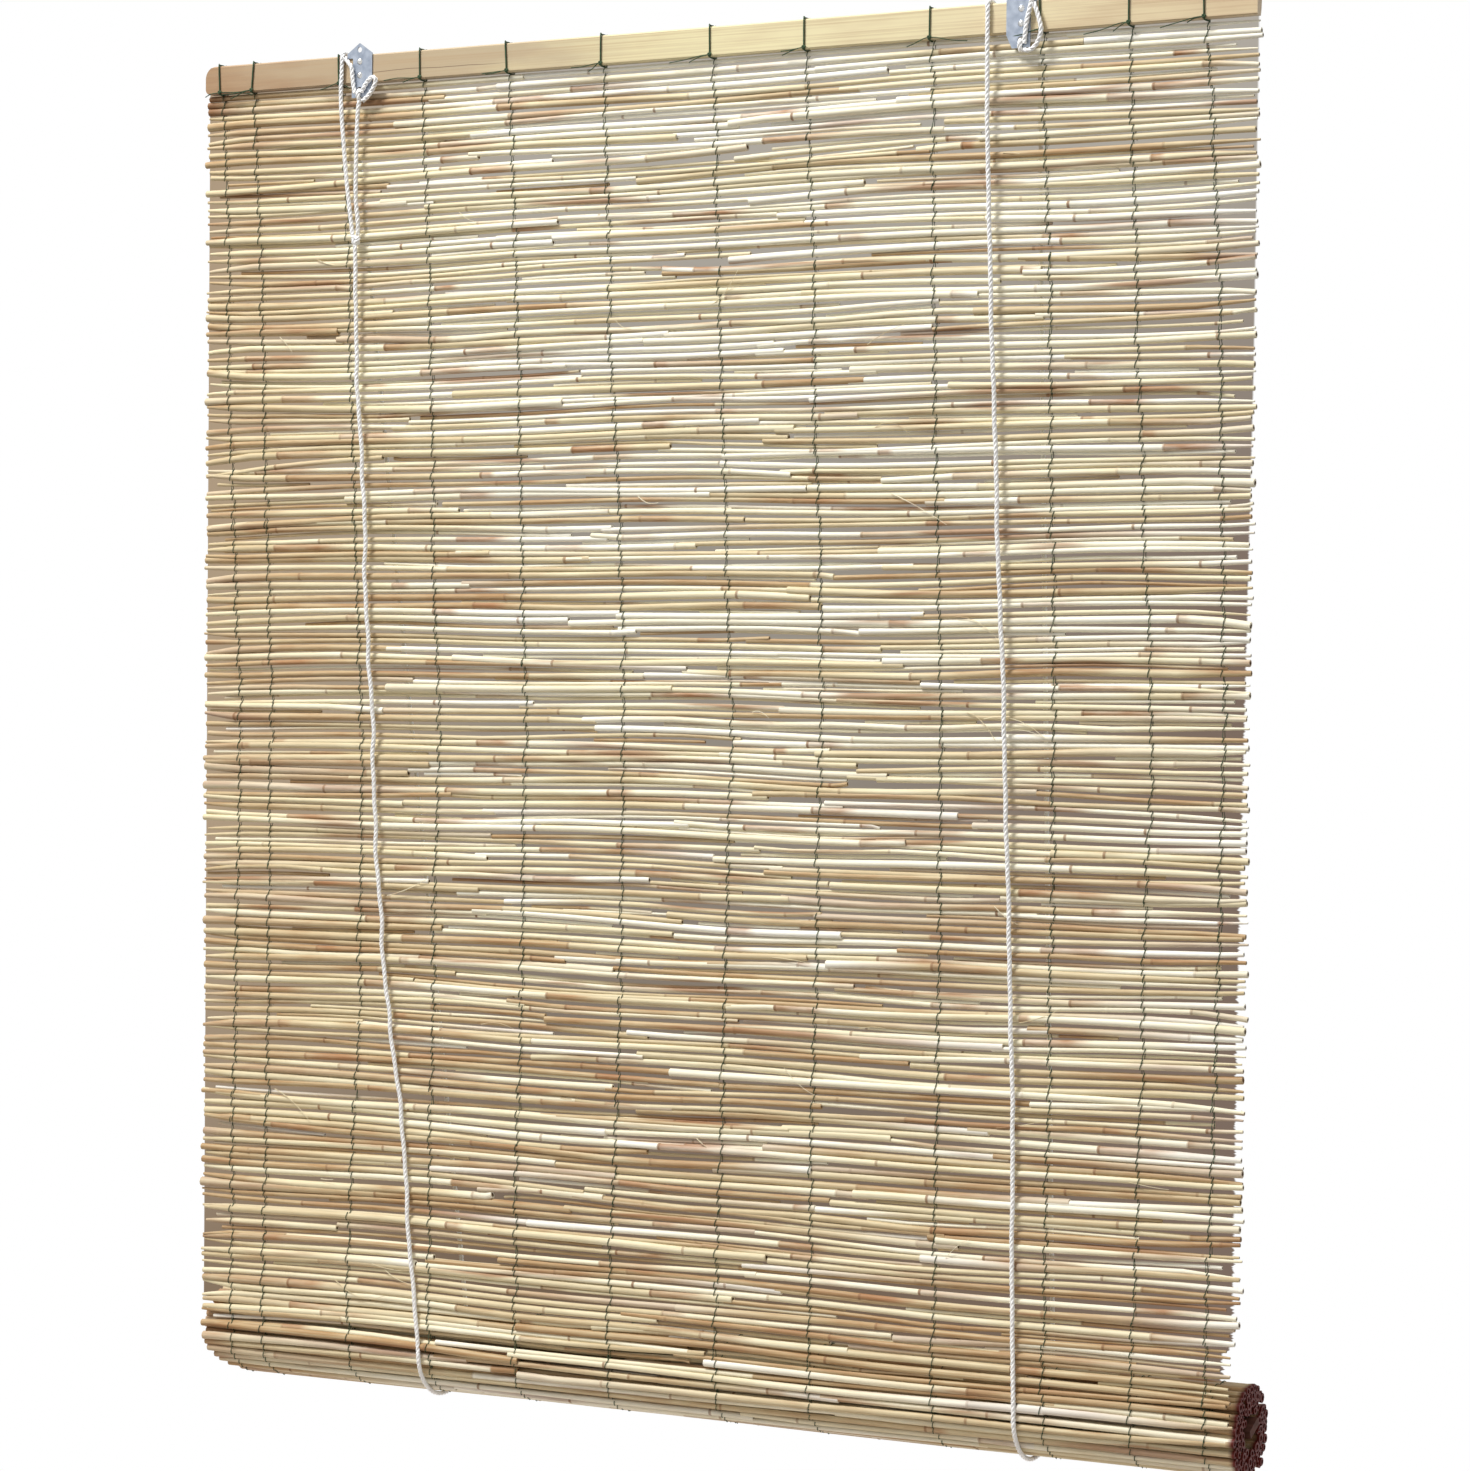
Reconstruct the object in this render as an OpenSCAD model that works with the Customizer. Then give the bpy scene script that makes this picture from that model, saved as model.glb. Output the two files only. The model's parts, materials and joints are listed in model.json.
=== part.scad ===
// Roll-up reed blind: a mat of reeds twined with thread, hung from a bamboo head rail by two
// metal hangers, with its lower turns rolled up and held in two cord slings.
// +Z is up, the front faces -Y, and the origin is midway between the two hanging eyes,
// in the plane of the rail's front face.

/* [Head rail] */
// Width of the blind, which is the length of the rail and of the reeds
blind_w = 1000; // [700:10:1600]
// Height of the bamboo slat
rail_h = 25; // [20:0.5:40]
// Thickness of the bamboo slat
rail_t = 9.5; // [9:0.1:14]
// Outer radius of the bamboo culm that the slat was split from
culm_r = 45; // [30:1:90]
// Bevel along the slat's front edges
rail_bevel = 1.2; // [0.4:0.1:2]
// How far the rail's middle lies to the right of the middle between the hangers
rail_shift = 17; // [0:1:40]

/* [Hangers] */
// Distance between the two hanging eyes
hanger_spacing = 634; // [400:2:640]
// Width of a hanger plate
plate_w = 26; // [24:1:30]
// Thickness of the sheet metal
plate_t = 1.2; // [0.8:0.1:2]
// Height of the gable's peak above the rail
gable_peak = 10; // [9:0.5:14]
// Height of the plate's shoulders above the rail
gable_shoulder = 1; // [0:0.5:3]
// How far the plate reaches below the rail's top edge
plate_drop = 37.5; // [36:0.5:60]
// Width of the plate's lower end
plate_foot_w = 16; // [14:1:18]
// Height of the tapering lower end
plate_taper = 11; // [6:0.5:14]
// Depth of the cord notch in the plate's outer edge
notch_depth = 6; // [4:0.5:7]
// Height of the cord notch
notch_h = 5; // [4:0.5:7]
// Height of the hook above the cord notch
hook_h = 3; // [2:0.5:4]
// How far the outer edge steps in below the cord notch
plate_inset = 5; // [0:0.5:5.5]
// Radius of the hanging eye
eye_r = 2.4; // [2:0.1:3]
// Height of the hanging eye's centre above the rail
eye_rise = 4.2; // [3.5:0.1:5]
// Radius of the cord hole in the lower end
cord_hole_r = 3.2; // [2.4:0.1:4]
// Metal left below the cord hole
cord_hole_lip = 2.8; // [2:0.1:6]
// Depth of the upper and lower screw below the rail's top edge
screw_depths = [6, 18]; // [4:0.5:24]
// Radius of a screw's shank
screw_r = 1.4; // [1:0.1:2]
// Length of a screw's shank in the rail
screw_grip = 7; // [4:0.5:7.5]
// Radius of a screw's domed head
screw_head_r = 2.8; // [2.4:0.1:4]
// Height of a screw's domed head
screw_head_h = 1.5; // [1:0.1:2.4]

/* [Reed mat] */
// Height of open mat between the rail and the roll's axis
open_drop = 1116; // [800:10:1600]
// Distance from reed to reed
reed_pitch = 6.6; // [6.2:0.1:9]
// Mean diameter of a reed
reed_d = 4.9; // [4:0.1:5.2]
// How much thicker or thinner a single reed can be
reed_vary = 0.5; // [0:0.05:0.6]
// Thickness of the twined web between the reeds
web_t = 1.6; // [1:0.1:2.4]
// Height of web left on each reed along a slit
slit_lip = 0.1; // [0.05:0.05:0.15]
// Width of mat left beside the thread at a slit's closed end
slit_margin = 6; // [3:0.5:12]

/* [Roll] */
// Radius of the outermost turn, at the middle of its reeds
roll_r = 37.5; // [36:0.5:60]
// Distance from one turn to the next
turn_pitch = 5.8; // [5.7:0.05:5.9]
// Radius left for the batten in the roll's core, at the middle of the last reeds
core_room = 14.3; // [14:0.1:20]
// Width of the bamboo batten in the roll's core
batten_w = 20; // [10:0.5:20.5]
// Thickness of the batten
batten_t = 7; // [4:0.5:7.5]

/* [Threads] */
// Distance from the end of the reeds to an evenly spaced outer thread
warp_margin = 30; // [20:1:60]
// Width of a thread's stitch
thread_w = 1.2; // [0.6:0.1:2]
// Thickness of a thread
thread_t = 0.6; // [0.4:0.1:0.7]
// How far the threads wander to the right on their way down to the middle of the mat
warp_drift = 22; // [0:1:30]
// How far to the right of its top end a thread ends
warp_drift_end = 15; // [0:1:30]
// Radius of the knot that ties a thread to the rail
lash_knot_r = 1.7; // [1.2:0.1:2.4]

/* [Cords] */
// Diameter of the lifting cords
cord_d = 3.4; // [2.4:0.1:3.6]
// Radius of a knot in the cord
cord_knot_r = 4.4; // [3.6:0.1:5]
// How far a sling reaches up the back of the roll, as an angle above level
sling_rise = 22; // [0:1:30]

/* [Hidden] */
$fn = 48;
fit_gap = 0.1;      // thread to what it is tied round
seat_gap = 0.3;     // between soft pieces that lie against each other
hole_gap = 0.2;     // screw to plate

// Main levels and planes
rail_top = -eye_rise;
rail_bottom = rail_top - rail_h;
roll_z = rail_bottom - open_drop;
reed_d_max = reed_d + reed_vary;
mat_y = rail_t - reed_d_max / 2;
mat_front = mat_y - reed_d_max / 2;
mat_back = mat_y + reed_d_max / 2;
mat_top = rail_bottom - thread_t - 2 * fit_gap;
mat_bottom = roll_z + seat_gap;
left_end = rail_shift - blind_w / 2;
hanger_x = [-hanger_spacing / 2, hanger_spacing / 2];
cord_hole_z = rail_top - plate_drop + cord_hole_lip + cord_hole_r;

// Rows of the open mat, from the top
mat_rows = floor((mat_top - mat_bottom - reed_d_max) / reed_pitch) + 1;
row_d = [for (v = rands(-1, 1, mat_rows, 11)) reed_d + reed_vary * v];
function row_z(i) = mat_top - reed_d_max / 2 - i * reed_pitch;

// The roll's spiral starts at the front, level with the axis, and runs under and up the back
roll_y = mat_y + roll_r;
roll_turns = (roll_r - core_room) / turn_pitch;     // as many as leave the core free
turn_step = turn_pitch / 360;                       // loss of radius per degree
roll_sweep = roll_turns * 360;
function turn_r(a) = roll_r - turn_step * a;
function on_roll(a, r) = [roll_y - r * cos(a), roll_z - r * sin(a)];
function roll_length(a) = (roll_r * a - turn_step * a * a / 2) * PI / 180;
function roll_angle(s) = (roll_r - sqrt(roll_r * roll_r - 2 * turn_step * s * 180 / PI)) / turn_step;
roll_first = reed_d_max / 2 + seat_gap + fit_gap;   // first reed, along the spiral
roll_reeds = floor((roll_length(roll_sweep) - roll_first) / reed_pitch) + 1;
roll_d = [for (v = rands(-1, 1, roll_reeds, 23)) reed_d + reed_vary * v];
web_step = 6;                                       // degrees between points of the web
roll_last = roll_angle(roll_first + (roll_reeds - 1) * reed_pitch);
core_r = turn_r(roll_last) - roll_d[roll_reeds - 1] / 2 - seat_gap;   // free room inside the last reed

// Threads: evenly spaced, shifted as the weaver set them, and kept beside the hangers
warp_shift = [-14, -65, -57, -58, -55, -47, -27, -24, 5, 18, 8, -14];
warp_count = len(warp_shift);
warp_pitch = (blind_w - 2 * warp_margin) / (warp_count - 1);
plate_reach = plate_w / 2 + lash_knot_r + seat_gap;
function beside(x, h) = abs(x - h) < plate_reach ? h + (x < h ? -plate_reach : plate_reach) : x;
function warp_x(k) = beside(beside(left_end + warp_margin + k * warp_pitch + warp_shift[k],
                                   hanger_x[0]), hanger_x[1]);
thread_mid_z = (mat_top + mat_bottom) / 2;
back_thread_end = mat_bottom + 2.5 * turn_pitch;    // the back stitches stop above the roll

// Slings and the cords' routes, as points in the middle of the cord
cord_r = cord_d / 2;
sling_r = roll_r + reed_d_max / 2 + seat_gap + cord_r;
sling_x = [-248, 325];
left_knot_at = [-320, -0.9, -166];
right_knot_at = [288, 13, -27];
left_upper_route = [
    [-331, 11.7, -38], [-333, 11.6, -14], [-334.5, 11.5, -7], [-334.5, 10.6, -3.4], [-334.5, 8.2, -2.1],
    [-334.5, 3, -2], [-334.5, 0.6, -2.1], [-334.5, -1.4, -3.2], [-334.6, -2.2, -5.8], [-335, -2.2, -20],
    [-335.5, -2.2, -46], [-330, -2, -107], [-325, -1.8, -146], [-323, -1.6, -160.4]];
left_lead_route = [[-330.8, -3.2, -7.2], [-327, -3.2, -11.5], [-324.2, -3.2, -15], [-323.4, -3.2, -20],
    [-322.6, -3.2, -28], [-320.8, -3.2, -37]];
left_bight_route = [[-313.2, -3.4, -37], [-309, -3.6, -31], [-305, -3.8, -27], [-302, -3.7, -25.2],
    [-299.4, -3.5, -26], [-298.6, -3.2, -28.8], [-301.4, -2.9, -34.6], [-306.6, -2.8, -41],
    [-312.2, -2.8, -45.2]];
left_tie_route = [[-316, -3, -46], [-318, -2.8, -65], [-319.5, -2.2, -125], [-317.6, -1.6, -148],
    [-317.4, -1.4, -160.4]];
left_front_route = [[-320.5, -1.5, -172.6], [-318, -1.4, -260], [-311, -1, -380], [-304, -0.6, -520],
    [-296, -0.1, -660], [-288, 0.4, -790], [-276, 0.7, -870], [-266, 1, -950], [-258, 1.4, -1040],
    [-248, 2.1, -1144.8]];
left_back_route = [[-330.8, 11.8, -38.4], [-302, 35, -420], [-272, 60, -800], [-248, 83.2, -1128.8]];
right_front_route = [[288, -2.2, -40.4], [290, -2.1, -140], [294, -1.9, -237], [298, -1.6, -332],
    [303, -1.2, -444], [308, -0.8, -541], [312, -0.4, -637], [318, 0.3, -800], [321, 0.7, -881],
    [323, 1.3, -1045], [325, 2.1, -1144.8]];
right_upper_route = [[288, -2.2, -40], [288, -2.2, -20], [288, -2.2, -5.8], [288, -1.4, -3.2],
    [288, 0.6, -2.1], [288, 3, -2], [288, 8.2, -2.1], [288, 10.6, -3.4], [288, 11.6, -7],
    [288, 12.2, -22.2]];
right_loop_route = [[320.8, -3.2, -38], [321.6, -3.2, -30], [322.6, -3.2, -22], [324.2, -3.2, -15],
    [326, -3.2, -8], [327.4, -3.2, -3], [328.5, -2.9, 0], [329.2, -1.6, 1.8], [329.5, 0.6, 2.2],
    [329.5, 4, 1], [329, 8, -1.4], [328.5, 10.6, -3.6], [328, 11.6, -8], [328, 11.7, -38]];
right_bight_route = [[320.8, -3.2, -44], [326, -3.2, -44.2], [331.5, -3.4, -40], [335, -3.8, -33],
    [335.6, -4, -27], [333.5, -4, -19], [331.4, -4, -13], [329.8, -4, -9]];
right_back_route = [[328, 11.8, -38.4], [327, 35, -420], [326, 60, -800], [325, 83.2, -1128.8]];
cord_sides = 8;
hitch_rings = 12;

// Extrudes a flat shape drawn as (Y, Z) along X, from x = from over a length
module along_x(from, length) {
    translate([from, 0, 0]) rotate([90, 0, 90]) linear_extrude(length) children();
}

// Extrudes a flat shape drawn as (X, Z) towards the back, from y = front
module along_y(front, depth) {
    translate([0, front + depth, 0]) rotate([90, 0, 0]) linear_extrude(depth) children();
}

// A hole or pin along Y, with its front end at y = front
module bore_y(x, z, front, r, depth) {
    translate([x, front + depth, z]) rotate([90, 0, 0]) cylinder(r = r, h = depth);
}

// The rail's section as (Y, Z): flat in front, with the culm's round skin at the back
module rail_section(grow) {
    y0 = -grow;
    z0 = rail_bottom - grow;
    z1 = rail_top + grow;
    intersection() {
        polygon([[y0 + rail_bevel, z0], [rail_t + grow, z0], [rail_t + grow, z1], [y0 + rail_bevel, z1],
                 [y0, z1 - rail_bevel], [y0, z0 + rail_bevel]]);
        translate([rail_t - culm_r, (rail_top + rail_bottom) / 2]) circle(r = culm_r + grow, $fn = 180);
    }
}

module head_rail() {
    color("burlywood") difference() {
        along_x(left_end, blind_w) rail_section(0);
        for (x = hanger_x, depth = screw_depths)
            bore_y(x, rail_top - depth, -1, screw_r + hole_gap / 2, screw_grip + seat_gap + 1);
    }
}

// Gabled sheet-metal plate with a hanging eye above the rail, a cord notch in its outer edge
// and a cord hole in its lower end
module hanger(x) {
    foot = rail_top - plate_drop;
    notch_top = rail_top - hook_h;
    notch_x = plate_w / 2 - notch_depth;
    outline = [[0, rail_top + gable_peak], [plate_w / 2, rail_top + gable_shoulder], [plate_w / 2, notch_top],
               [notch_x, notch_top], [notch_x, notch_top - notch_h],
               [plate_w / 2 - plate_inset, notch_top - 1.5 * notch_h],
               [plate_w / 2 - plate_inset, foot + plate_taper], [plate_foot_w / 2, foot],
               [-plate_foot_w / 2, foot], [-plate_w / 2, foot + plate_taper],
               [-plate_w / 2, rail_top + gable_shoulder]];
    color("lightsteelblue") difference() {
        translate([x, 0, 0]) along_y(-plate_t, plate_t)
            polygon([for (p = outline) [sign(x) * p[0], p[1]]]);
        bore_y(x, 0, -plate_t - 1, eye_r, plate_t + 2);
        bore_y(x, cord_hole_z, -plate_t - 1, cord_hole_r, plate_t + 2);
        for (depth = screw_depths)
            bore_y(x, rail_top - depth, -plate_t - 1, screw_r + hole_gap, plate_t + 2);
    }
}

// Dome-headed screws that hold a hanger to the rail
module hanger_screws(x) {
    dome_r = (screw_head_r * screw_head_r + screw_head_h * screw_head_h) / (2 * screw_head_h);
    color("silver") for (depth = screw_depths)
        translate([x, -plate_t, rail_top - depth]) rotate([90, 0, 0]) {
            rotate_extrude() intersection() {
                square([screw_head_r + 1, screw_head_h]);
                translate([0, screw_head_h - dome_r]) circle(r = dome_r, $fn = 96);
            }
            translate([0, 0, -plate_t - screw_grip]) cylinder(r = screw_r, h = plate_t + screw_grip + 0.1);
        }
}

// The slits that light comes through: on most gaps one, as high as the reeds leave it. It runs from a
// thread near one side of the mat out past the reeds' ends on the other side, by turns right and left
function has_slit(i) = (i * 7) % 10 < 7;
function slit_runs_right(i) = floor(i / 2) % 2 == 0;
function slit_thread(i) = slit_runs_right(i) ? i % 3 : warp_count - 1 - i % 3;
function slit_top(i) = row_z(i) - row_d[i] / 2 - slit_lip;
function slit_bottom(i) = row_z(i + 1) + row_d[i + 1] / 2 + slit_lip;

module reed_mat() {
    color("wheat") difference() {
        along_x(left_end, blind_w) {
            for (i = [0:mat_rows - 1]) translate([mat_y, row_z(i)]) circle(r = row_d[i] / 2);
            translate([mat_y - web_t / 2, mat_bottom])
                square([web_t, row_z(0) - mat_bottom]);
        }
        for (i = [0:mat_rows - 2]) if (has_slit(i)) {
            thread_x = warp_x(slit_thread(i)) + warp_drift * min(1, i / mat_rows * 2);
            from = slit_runs_right(i) ? thread_x + slit_margin : left_end - 1;
            to = slit_runs_right(i) ? left_end + blind_w + 1 : thread_x - slit_margin;
            translate([from, mat_y - web_t, slit_bottom(i)])
                cube([to - from, 2 * web_t, slit_top(i) - slit_bottom(i)]);
        }
    }
}

// Reeds and web wound on a spiral: a roll's turns, as one solid
module reed_roll() {
    start = roll_angle(seat_gap + fit_gap);
    steps = ceil((roll_last - start) / web_step);
    angles = [for (k = [0:steps]) start + (roll_last - start) * k / steps];
    color("tan") along_x(left_end, blind_w) {
        polygon(concat([for (a = angles) on_roll(a, turn_r(a) + web_t / 2)],
                       [for (k = [steps:-1:0]) on_roll(angles[k], turn_r(angles[k]) - web_t / 2)]));
        for (i = [0:roll_reeds - 1]) {
            a = roll_angle(roll_first + i * reed_pitch);
            translate(on_roll(a, turn_r(a))) circle(r = roll_d[i] / 2);
        }
    }
}

// Bamboo slat tied to the mat's last reed, in the core of the roll, with one edge against that reed
module bottom_batten() {
    seat = sqrt(core_r * core_r - batten_w * batten_w / 4);
    color("peru") along_x(left_end, blind_w)
        translate([roll_y, roll_z]) rotate(180 + roll_last - atan2(batten_w / 2, seat))
            translate([seat - batten_t, -batten_w / 2]) square([batten_t, batten_w]);
}

// A thread tied round the rail, with its knot on the rail's lower front edge
module rail_lashing(k) {
    x = warp_x(k - 1);
    color("darkolivegreen") {
        along_x(x - thread_w / 2, thread_w) difference() {
            rail_section(fit_gap + thread_t);
            rail_section(fit_gap);
        }
        translate([x, -fit_gap - thread_t / 2, rail_bottom + rail_bevel + lash_knot_r]) rotate([90, 0, 0])
            cylinder(r1 = lash_knot_r, r2 = lash_knot_r / 2, h = thread_t / 2 + lash_knot_r / 2);
    }
}

// A thread's stitches over the front and the back of the mat
module warp_thread(k) {
    x = warp_x(k - 1);
    half = thread_w / 2;
    top = mat_top;
    reach = (back_thread_end - thread_mid_z) / (mat_bottom - thread_mid_z);
    ends = [mat_bottom, back_thread_end];
    drift_ends = [warp_drift_end, warp_drift + (warp_drift_end - warp_drift) * reach];
    fronts = [mat_front - fit_gap - thread_t, mat_back + fit_gap];
    color("darkolivegreen") for (side = [0, 1]) {
        path = [[x, top], [x + warp_drift, thread_mid_z], [x + drift_ends[side], ends[side]]];
        along_y(fronts[side], thread_t)
            polygon(concat([for (p = path) p - [half, 0]], [for (j = [2:-1:0]) path[j] + [half, 0]]));
    }
}

// A round cord along a route of points, as one swept solid; no part of the route runs along the side
function unit(v) = v / norm(v);
function heading(p, i) = unit(p[min(i + 1, len(p) - 1)] - p[max(i - 1, 0)]);
function ring(at, t, side = [1, 0, 0]) = let (u = unit(cross(t, side)), v = cross(t, u))
    [for (j = [0:cord_sides - 1])
        at + cord_r * (cos(360 * j / cord_sides) * u + sin(360 * j / cord_sides) * v)];
function tube_sides(rings, total) = [for (i = [0:rings - 1], j = [0:cord_sides - 1])
    let (a = i * cord_sides, b = (i + 1) % total * cord_sides, n = (j + 1) % cord_sides)
        [a + j, a + n, b + n, b + j]];

module cord(route, side = [1, 0, 0]) {
    n = len(route);
    points = [for (i = [0:n - 1]) each ring(route[i], heading(route, i), side)];
    caps = [[for (j = [cord_sides - 1:-1:0]) j], [for (j = [0:cord_sides - 1]) (n - 1) * cord_sides + j]];
    color("white") polyhedron(points = points, faces = concat(caps, tube_sides(n - 1, n)));
}

// The cord's turn through the hanger's lower hole and round the metal below it
module hitch(x) {
    half_y = plate_t / 2 + 2 * seat_gap + cord_r;
    low = rail_top - plate_drop - seat_gap - cord_r;
    middle = [x, -plate_t / 2, (cord_hole_z + low) / 2];
    half_z = (cord_hole_z - low) / 2;
    angles = [for (i = [0:hitch_rings - 1]) 360 * i / hitch_rings];
    points = [for (a = angles)
        each ring(middle + [0, half_y * cos(a), half_z * sin(a)],
                  unit([0, -half_y * sin(a), half_z * cos(a)]))];
    color("white") polyhedron(points = points, faces = tube_sides(hitch_rings, hitch_rings));
}

module cord_knot(at) {
    color("white") translate(at) sphere(r = cord_knot_r);
}

// The cord's bight under the roll, from the front, round below, to the back
module sling(x) {
    color("white") translate([x, roll_y, roll_z]) rotate([90, 0, 90]) rotate([0, 0, 180])
        rotate_extrude(angle = 180 + sling_rise) translate([sling_r, 0]) circle(r = cord_r);
}

head_rail();
hanger(hanger_x[0]);  // left_hanger
hanger(hanger_x[1]);  // right_hanger
hanger_screws(hanger_x[0]);  // left_hanger_screws
hanger_screws(hanger_x[1]);  // right_hanger_screws
reed_mat();
reed_roll();
bottom_batten();
for (k = [1:warp_count]) rail_lashing(k);
for (k = [1:warp_count]) warp_thread(k);
cord(left_upper_route);  // left_cord_upper
cord(left_lead_route, [0, 1, 0]);  // left_cord_lead
cord(left_bight_route, [0, 1, 0]);  // left_cord_bight
cord(left_tie_route);  // left_cord_tie
hitch(hanger_x[0]);  // left_cord_hitch
cord_knot(left_knot_at);  // left_cord_knot
cord(left_front_route);  // left_cord_front
sling(sling_x[0]);  // left_cord_sling
cord(left_back_route);  // left_cord_back
cord(right_upper_route);  // right_cord_upper
cord(right_loop_route);  // right_cord_loop
cord(right_bight_route, [0, 1, 0]);  // right_cord_bight
hitch(hanger_x[1]);  // right_cord_hitch
cord_knot(right_knot_at);  // right_cord_knot
cord(right_front_route);  // right_cord_front
sling(sling_x[1]);  // right_cord_sling
cord(right_back_route);  // right_cord_back
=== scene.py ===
import json
import math

import bmesh
import bpy
import numpy as np
from mathutils import Matrix, Vector


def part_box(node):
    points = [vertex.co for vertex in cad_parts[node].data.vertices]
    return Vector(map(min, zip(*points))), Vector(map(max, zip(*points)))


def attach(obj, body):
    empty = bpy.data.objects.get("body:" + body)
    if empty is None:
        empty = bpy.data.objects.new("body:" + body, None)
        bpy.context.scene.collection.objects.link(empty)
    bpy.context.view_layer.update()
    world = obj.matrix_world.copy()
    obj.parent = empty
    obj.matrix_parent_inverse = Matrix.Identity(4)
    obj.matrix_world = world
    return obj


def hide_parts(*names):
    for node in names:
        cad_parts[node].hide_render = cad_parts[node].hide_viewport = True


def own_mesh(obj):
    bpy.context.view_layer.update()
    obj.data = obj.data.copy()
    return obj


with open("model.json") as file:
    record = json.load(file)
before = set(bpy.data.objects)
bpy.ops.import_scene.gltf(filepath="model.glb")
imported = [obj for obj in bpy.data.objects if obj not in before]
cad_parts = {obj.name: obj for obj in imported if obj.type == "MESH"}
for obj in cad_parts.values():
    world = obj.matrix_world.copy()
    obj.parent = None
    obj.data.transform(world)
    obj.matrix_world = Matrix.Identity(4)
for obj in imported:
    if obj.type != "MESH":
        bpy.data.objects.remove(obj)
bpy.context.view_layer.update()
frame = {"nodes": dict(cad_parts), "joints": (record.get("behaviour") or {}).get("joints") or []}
scene = bpy.context.scene
mm = 0.001
print("frame loaded:", len(frame["nodes"]), "nodes")

# Places that the CAD gives
railLow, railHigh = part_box("head_rail")
matLow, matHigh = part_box("reed_mat")
matY = (matLow.y + matHigh.y) / 2
spinJoint = next(j for j in frame["joints"] if j["name"] == "roll_spin")
axisY, axisZ = spinJoint["pos_m"][1:]
warpX = [sum(c.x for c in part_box(f"rail_lashing_{k}")) / 2 for k in range(1, 13)]


# Node and mesh helpers
def addNode(tree, kind, feeds=None, **options):
    made = tree.nodes.new(kind)
    for label, value in options.items():
        setattr(made, label, value)
    for key, value in (feeds or {}).items():
        if isinstance(value, bpy.types.NodeSocket):
            tree.links.new(value, made.inputs[key])
        else:
            made.inputs[key].default_value = value
    return made


def newGroup(name, inputs):
    tree = bpy.data.node_groups.new(name, "GeometryNodeTree")
    tree.interface.new_socket("Geometry", in_out="INPUT", socket_type="NodeSocketGeometry")
    for label, kind in inputs.items():
        tree.interface.new_socket(label, in_out="INPUT", socket_type=kind)
    tree.interface.new_socket("Material", in_out="INPUT", socket_type="NodeSocketMaterial")
    tree.interface.new_socket("Geometry", in_out="OUTPUT", socket_type="NodeSocketGeometry")
    return tree, tree.nodes.new("NodeGroupInput").outputs


def closeGroup(tree, source, shape):
    solid = addNode(tree, "GeometryNodeRealizeInstances", {"Geometry": shape})
    painted = addNode(tree, "GeometryNodeSetMaterial",
                      {"Geometry": solid.outputs[0], "Material": source["Material"]})
    addNode(tree, "NodeGroupOutput", {"Geometry": painted.outputs[0]})
    return tree


def lineMesh(name, lines, values):
    sizes = [len(line) for line in lines]
    starts = np.cumsum([0] + sizes[:-1])
    edges = [(s + i, s + i + 1) for s, n in zip(starts, sizes) for i in range(n - 1)]
    mesh = bpy.data.meshes.new(name)
    mesh.from_pydata(np.concatenate(lines).tolist(), edges, [])
    for label, columns in values.items():
        data = mesh.attributes.new(label, "FLOAT", "POINT")
        data.data.foreach_set("value", np.concatenate(columns).astype(np.float32))
    return mesh


def growPiece(name, mesh, tree, settings):
    piece = bpy.data.objects.new(name, mesh)
    scene.collection.objects.link(piece)
    grower = piece.modifiers.new("grow", "NODES")
    grower.node_group = tree
    for item in tree.interface.items_tree:
        if item.in_out == "INPUT" and item.name in settings:
            grower[item.identifier] = settings[item.name]
    bpy.context.view_layer.update()
    plain = bpy.data.meshes.new_from_object(piece.evaluated_get(bpy.context.evaluated_depsgraph_get()))
    piece.modifiers.clear()
    piece.data = plain
    plain.polygons.foreach_set("use_smooth", np.ones(len(plain.polygons), bool))
    return piece


def smoothPath(points, step):
    p = np.array(points, float)
    p = np.concatenate([[2 * p[0] - p[1]], p, [2 * p[-1] - p[-2]]])
    found = []
    for a, b, c, d in zip(p[:-3], p[1:-2], p[2:-1], p[3:]):
        n = max(2, int(np.linalg.norm(c - b) / step))
        t = np.arange(n)[:, None] / n
        found.append(0.5 * (2 * b + (c - a) * t + (2 * a - 5 * b + 4 * c - d) * t**2
                            + (3 * b - a - 3 * c + d) * t**3))
    return np.concatenate(found + [p[-2:-1]])


def pathLength(path):
    return float(np.linalg.norm(np.diff(path, axis=0), axis=1).sum())


def trefoil(count):
    turn = np.linspace(0, 2 * math.pi, count)
    return np.stack([np.sin(turn) + 2 * np.sin(2 * turn), -np.sin(3 * turn),
                     np.cos(turn) - 2 * np.cos(2 * turn)], 1)


# Materials
def newMaterial(name, **values):
    made = bpy.data.materials.new(name)
    made.use_nodes = True
    shader = made.node_tree.nodes["Principled BSDF"]
    for label, value in values.items():
        shader.inputs[label.replace("_", " ")].default_value = value
    return made, made.node_tree, shader


def grainOf(tree, scale, detail=3.0):
    place = addNode(tree, "ShaderNodeTexCoord").outputs["Object"]
    spread = addNode(tree, "ShaderNodeMapping", {"Vector": place, "Scale": scale})
    return addNode(tree, "ShaderNodeTexNoise",
                   {"Vector": spread.outputs[0], "Scale": 1.0, "Detail": detail}).outputs["Fac"]


def sumOf(tree, base, grain, amount):
    centred = addNode(tree, "ShaderNodeMath", {0: grain, 1: 0.5}, operation="SUBTRACT").outputs[0]
    return addNode(tree, "ShaderNodeMath", {0: centred, 1: amount, 2: base},
                   operation="MULTIPLY_ADD").outputs[0]


def rampOf(tree, value, stops):
    ramp = addNode(tree, "ShaderNodeValToRGB", {"Fac": value})
    band = ramp.color_ramp.elements
    while len(band) < len(stops):
        band.new(0.5)
    for element, (at, colour) in zip(band, stops):
        element.position = at
        element.color = (*colour, 1)
    return ramp.outputs["Color"]


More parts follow.
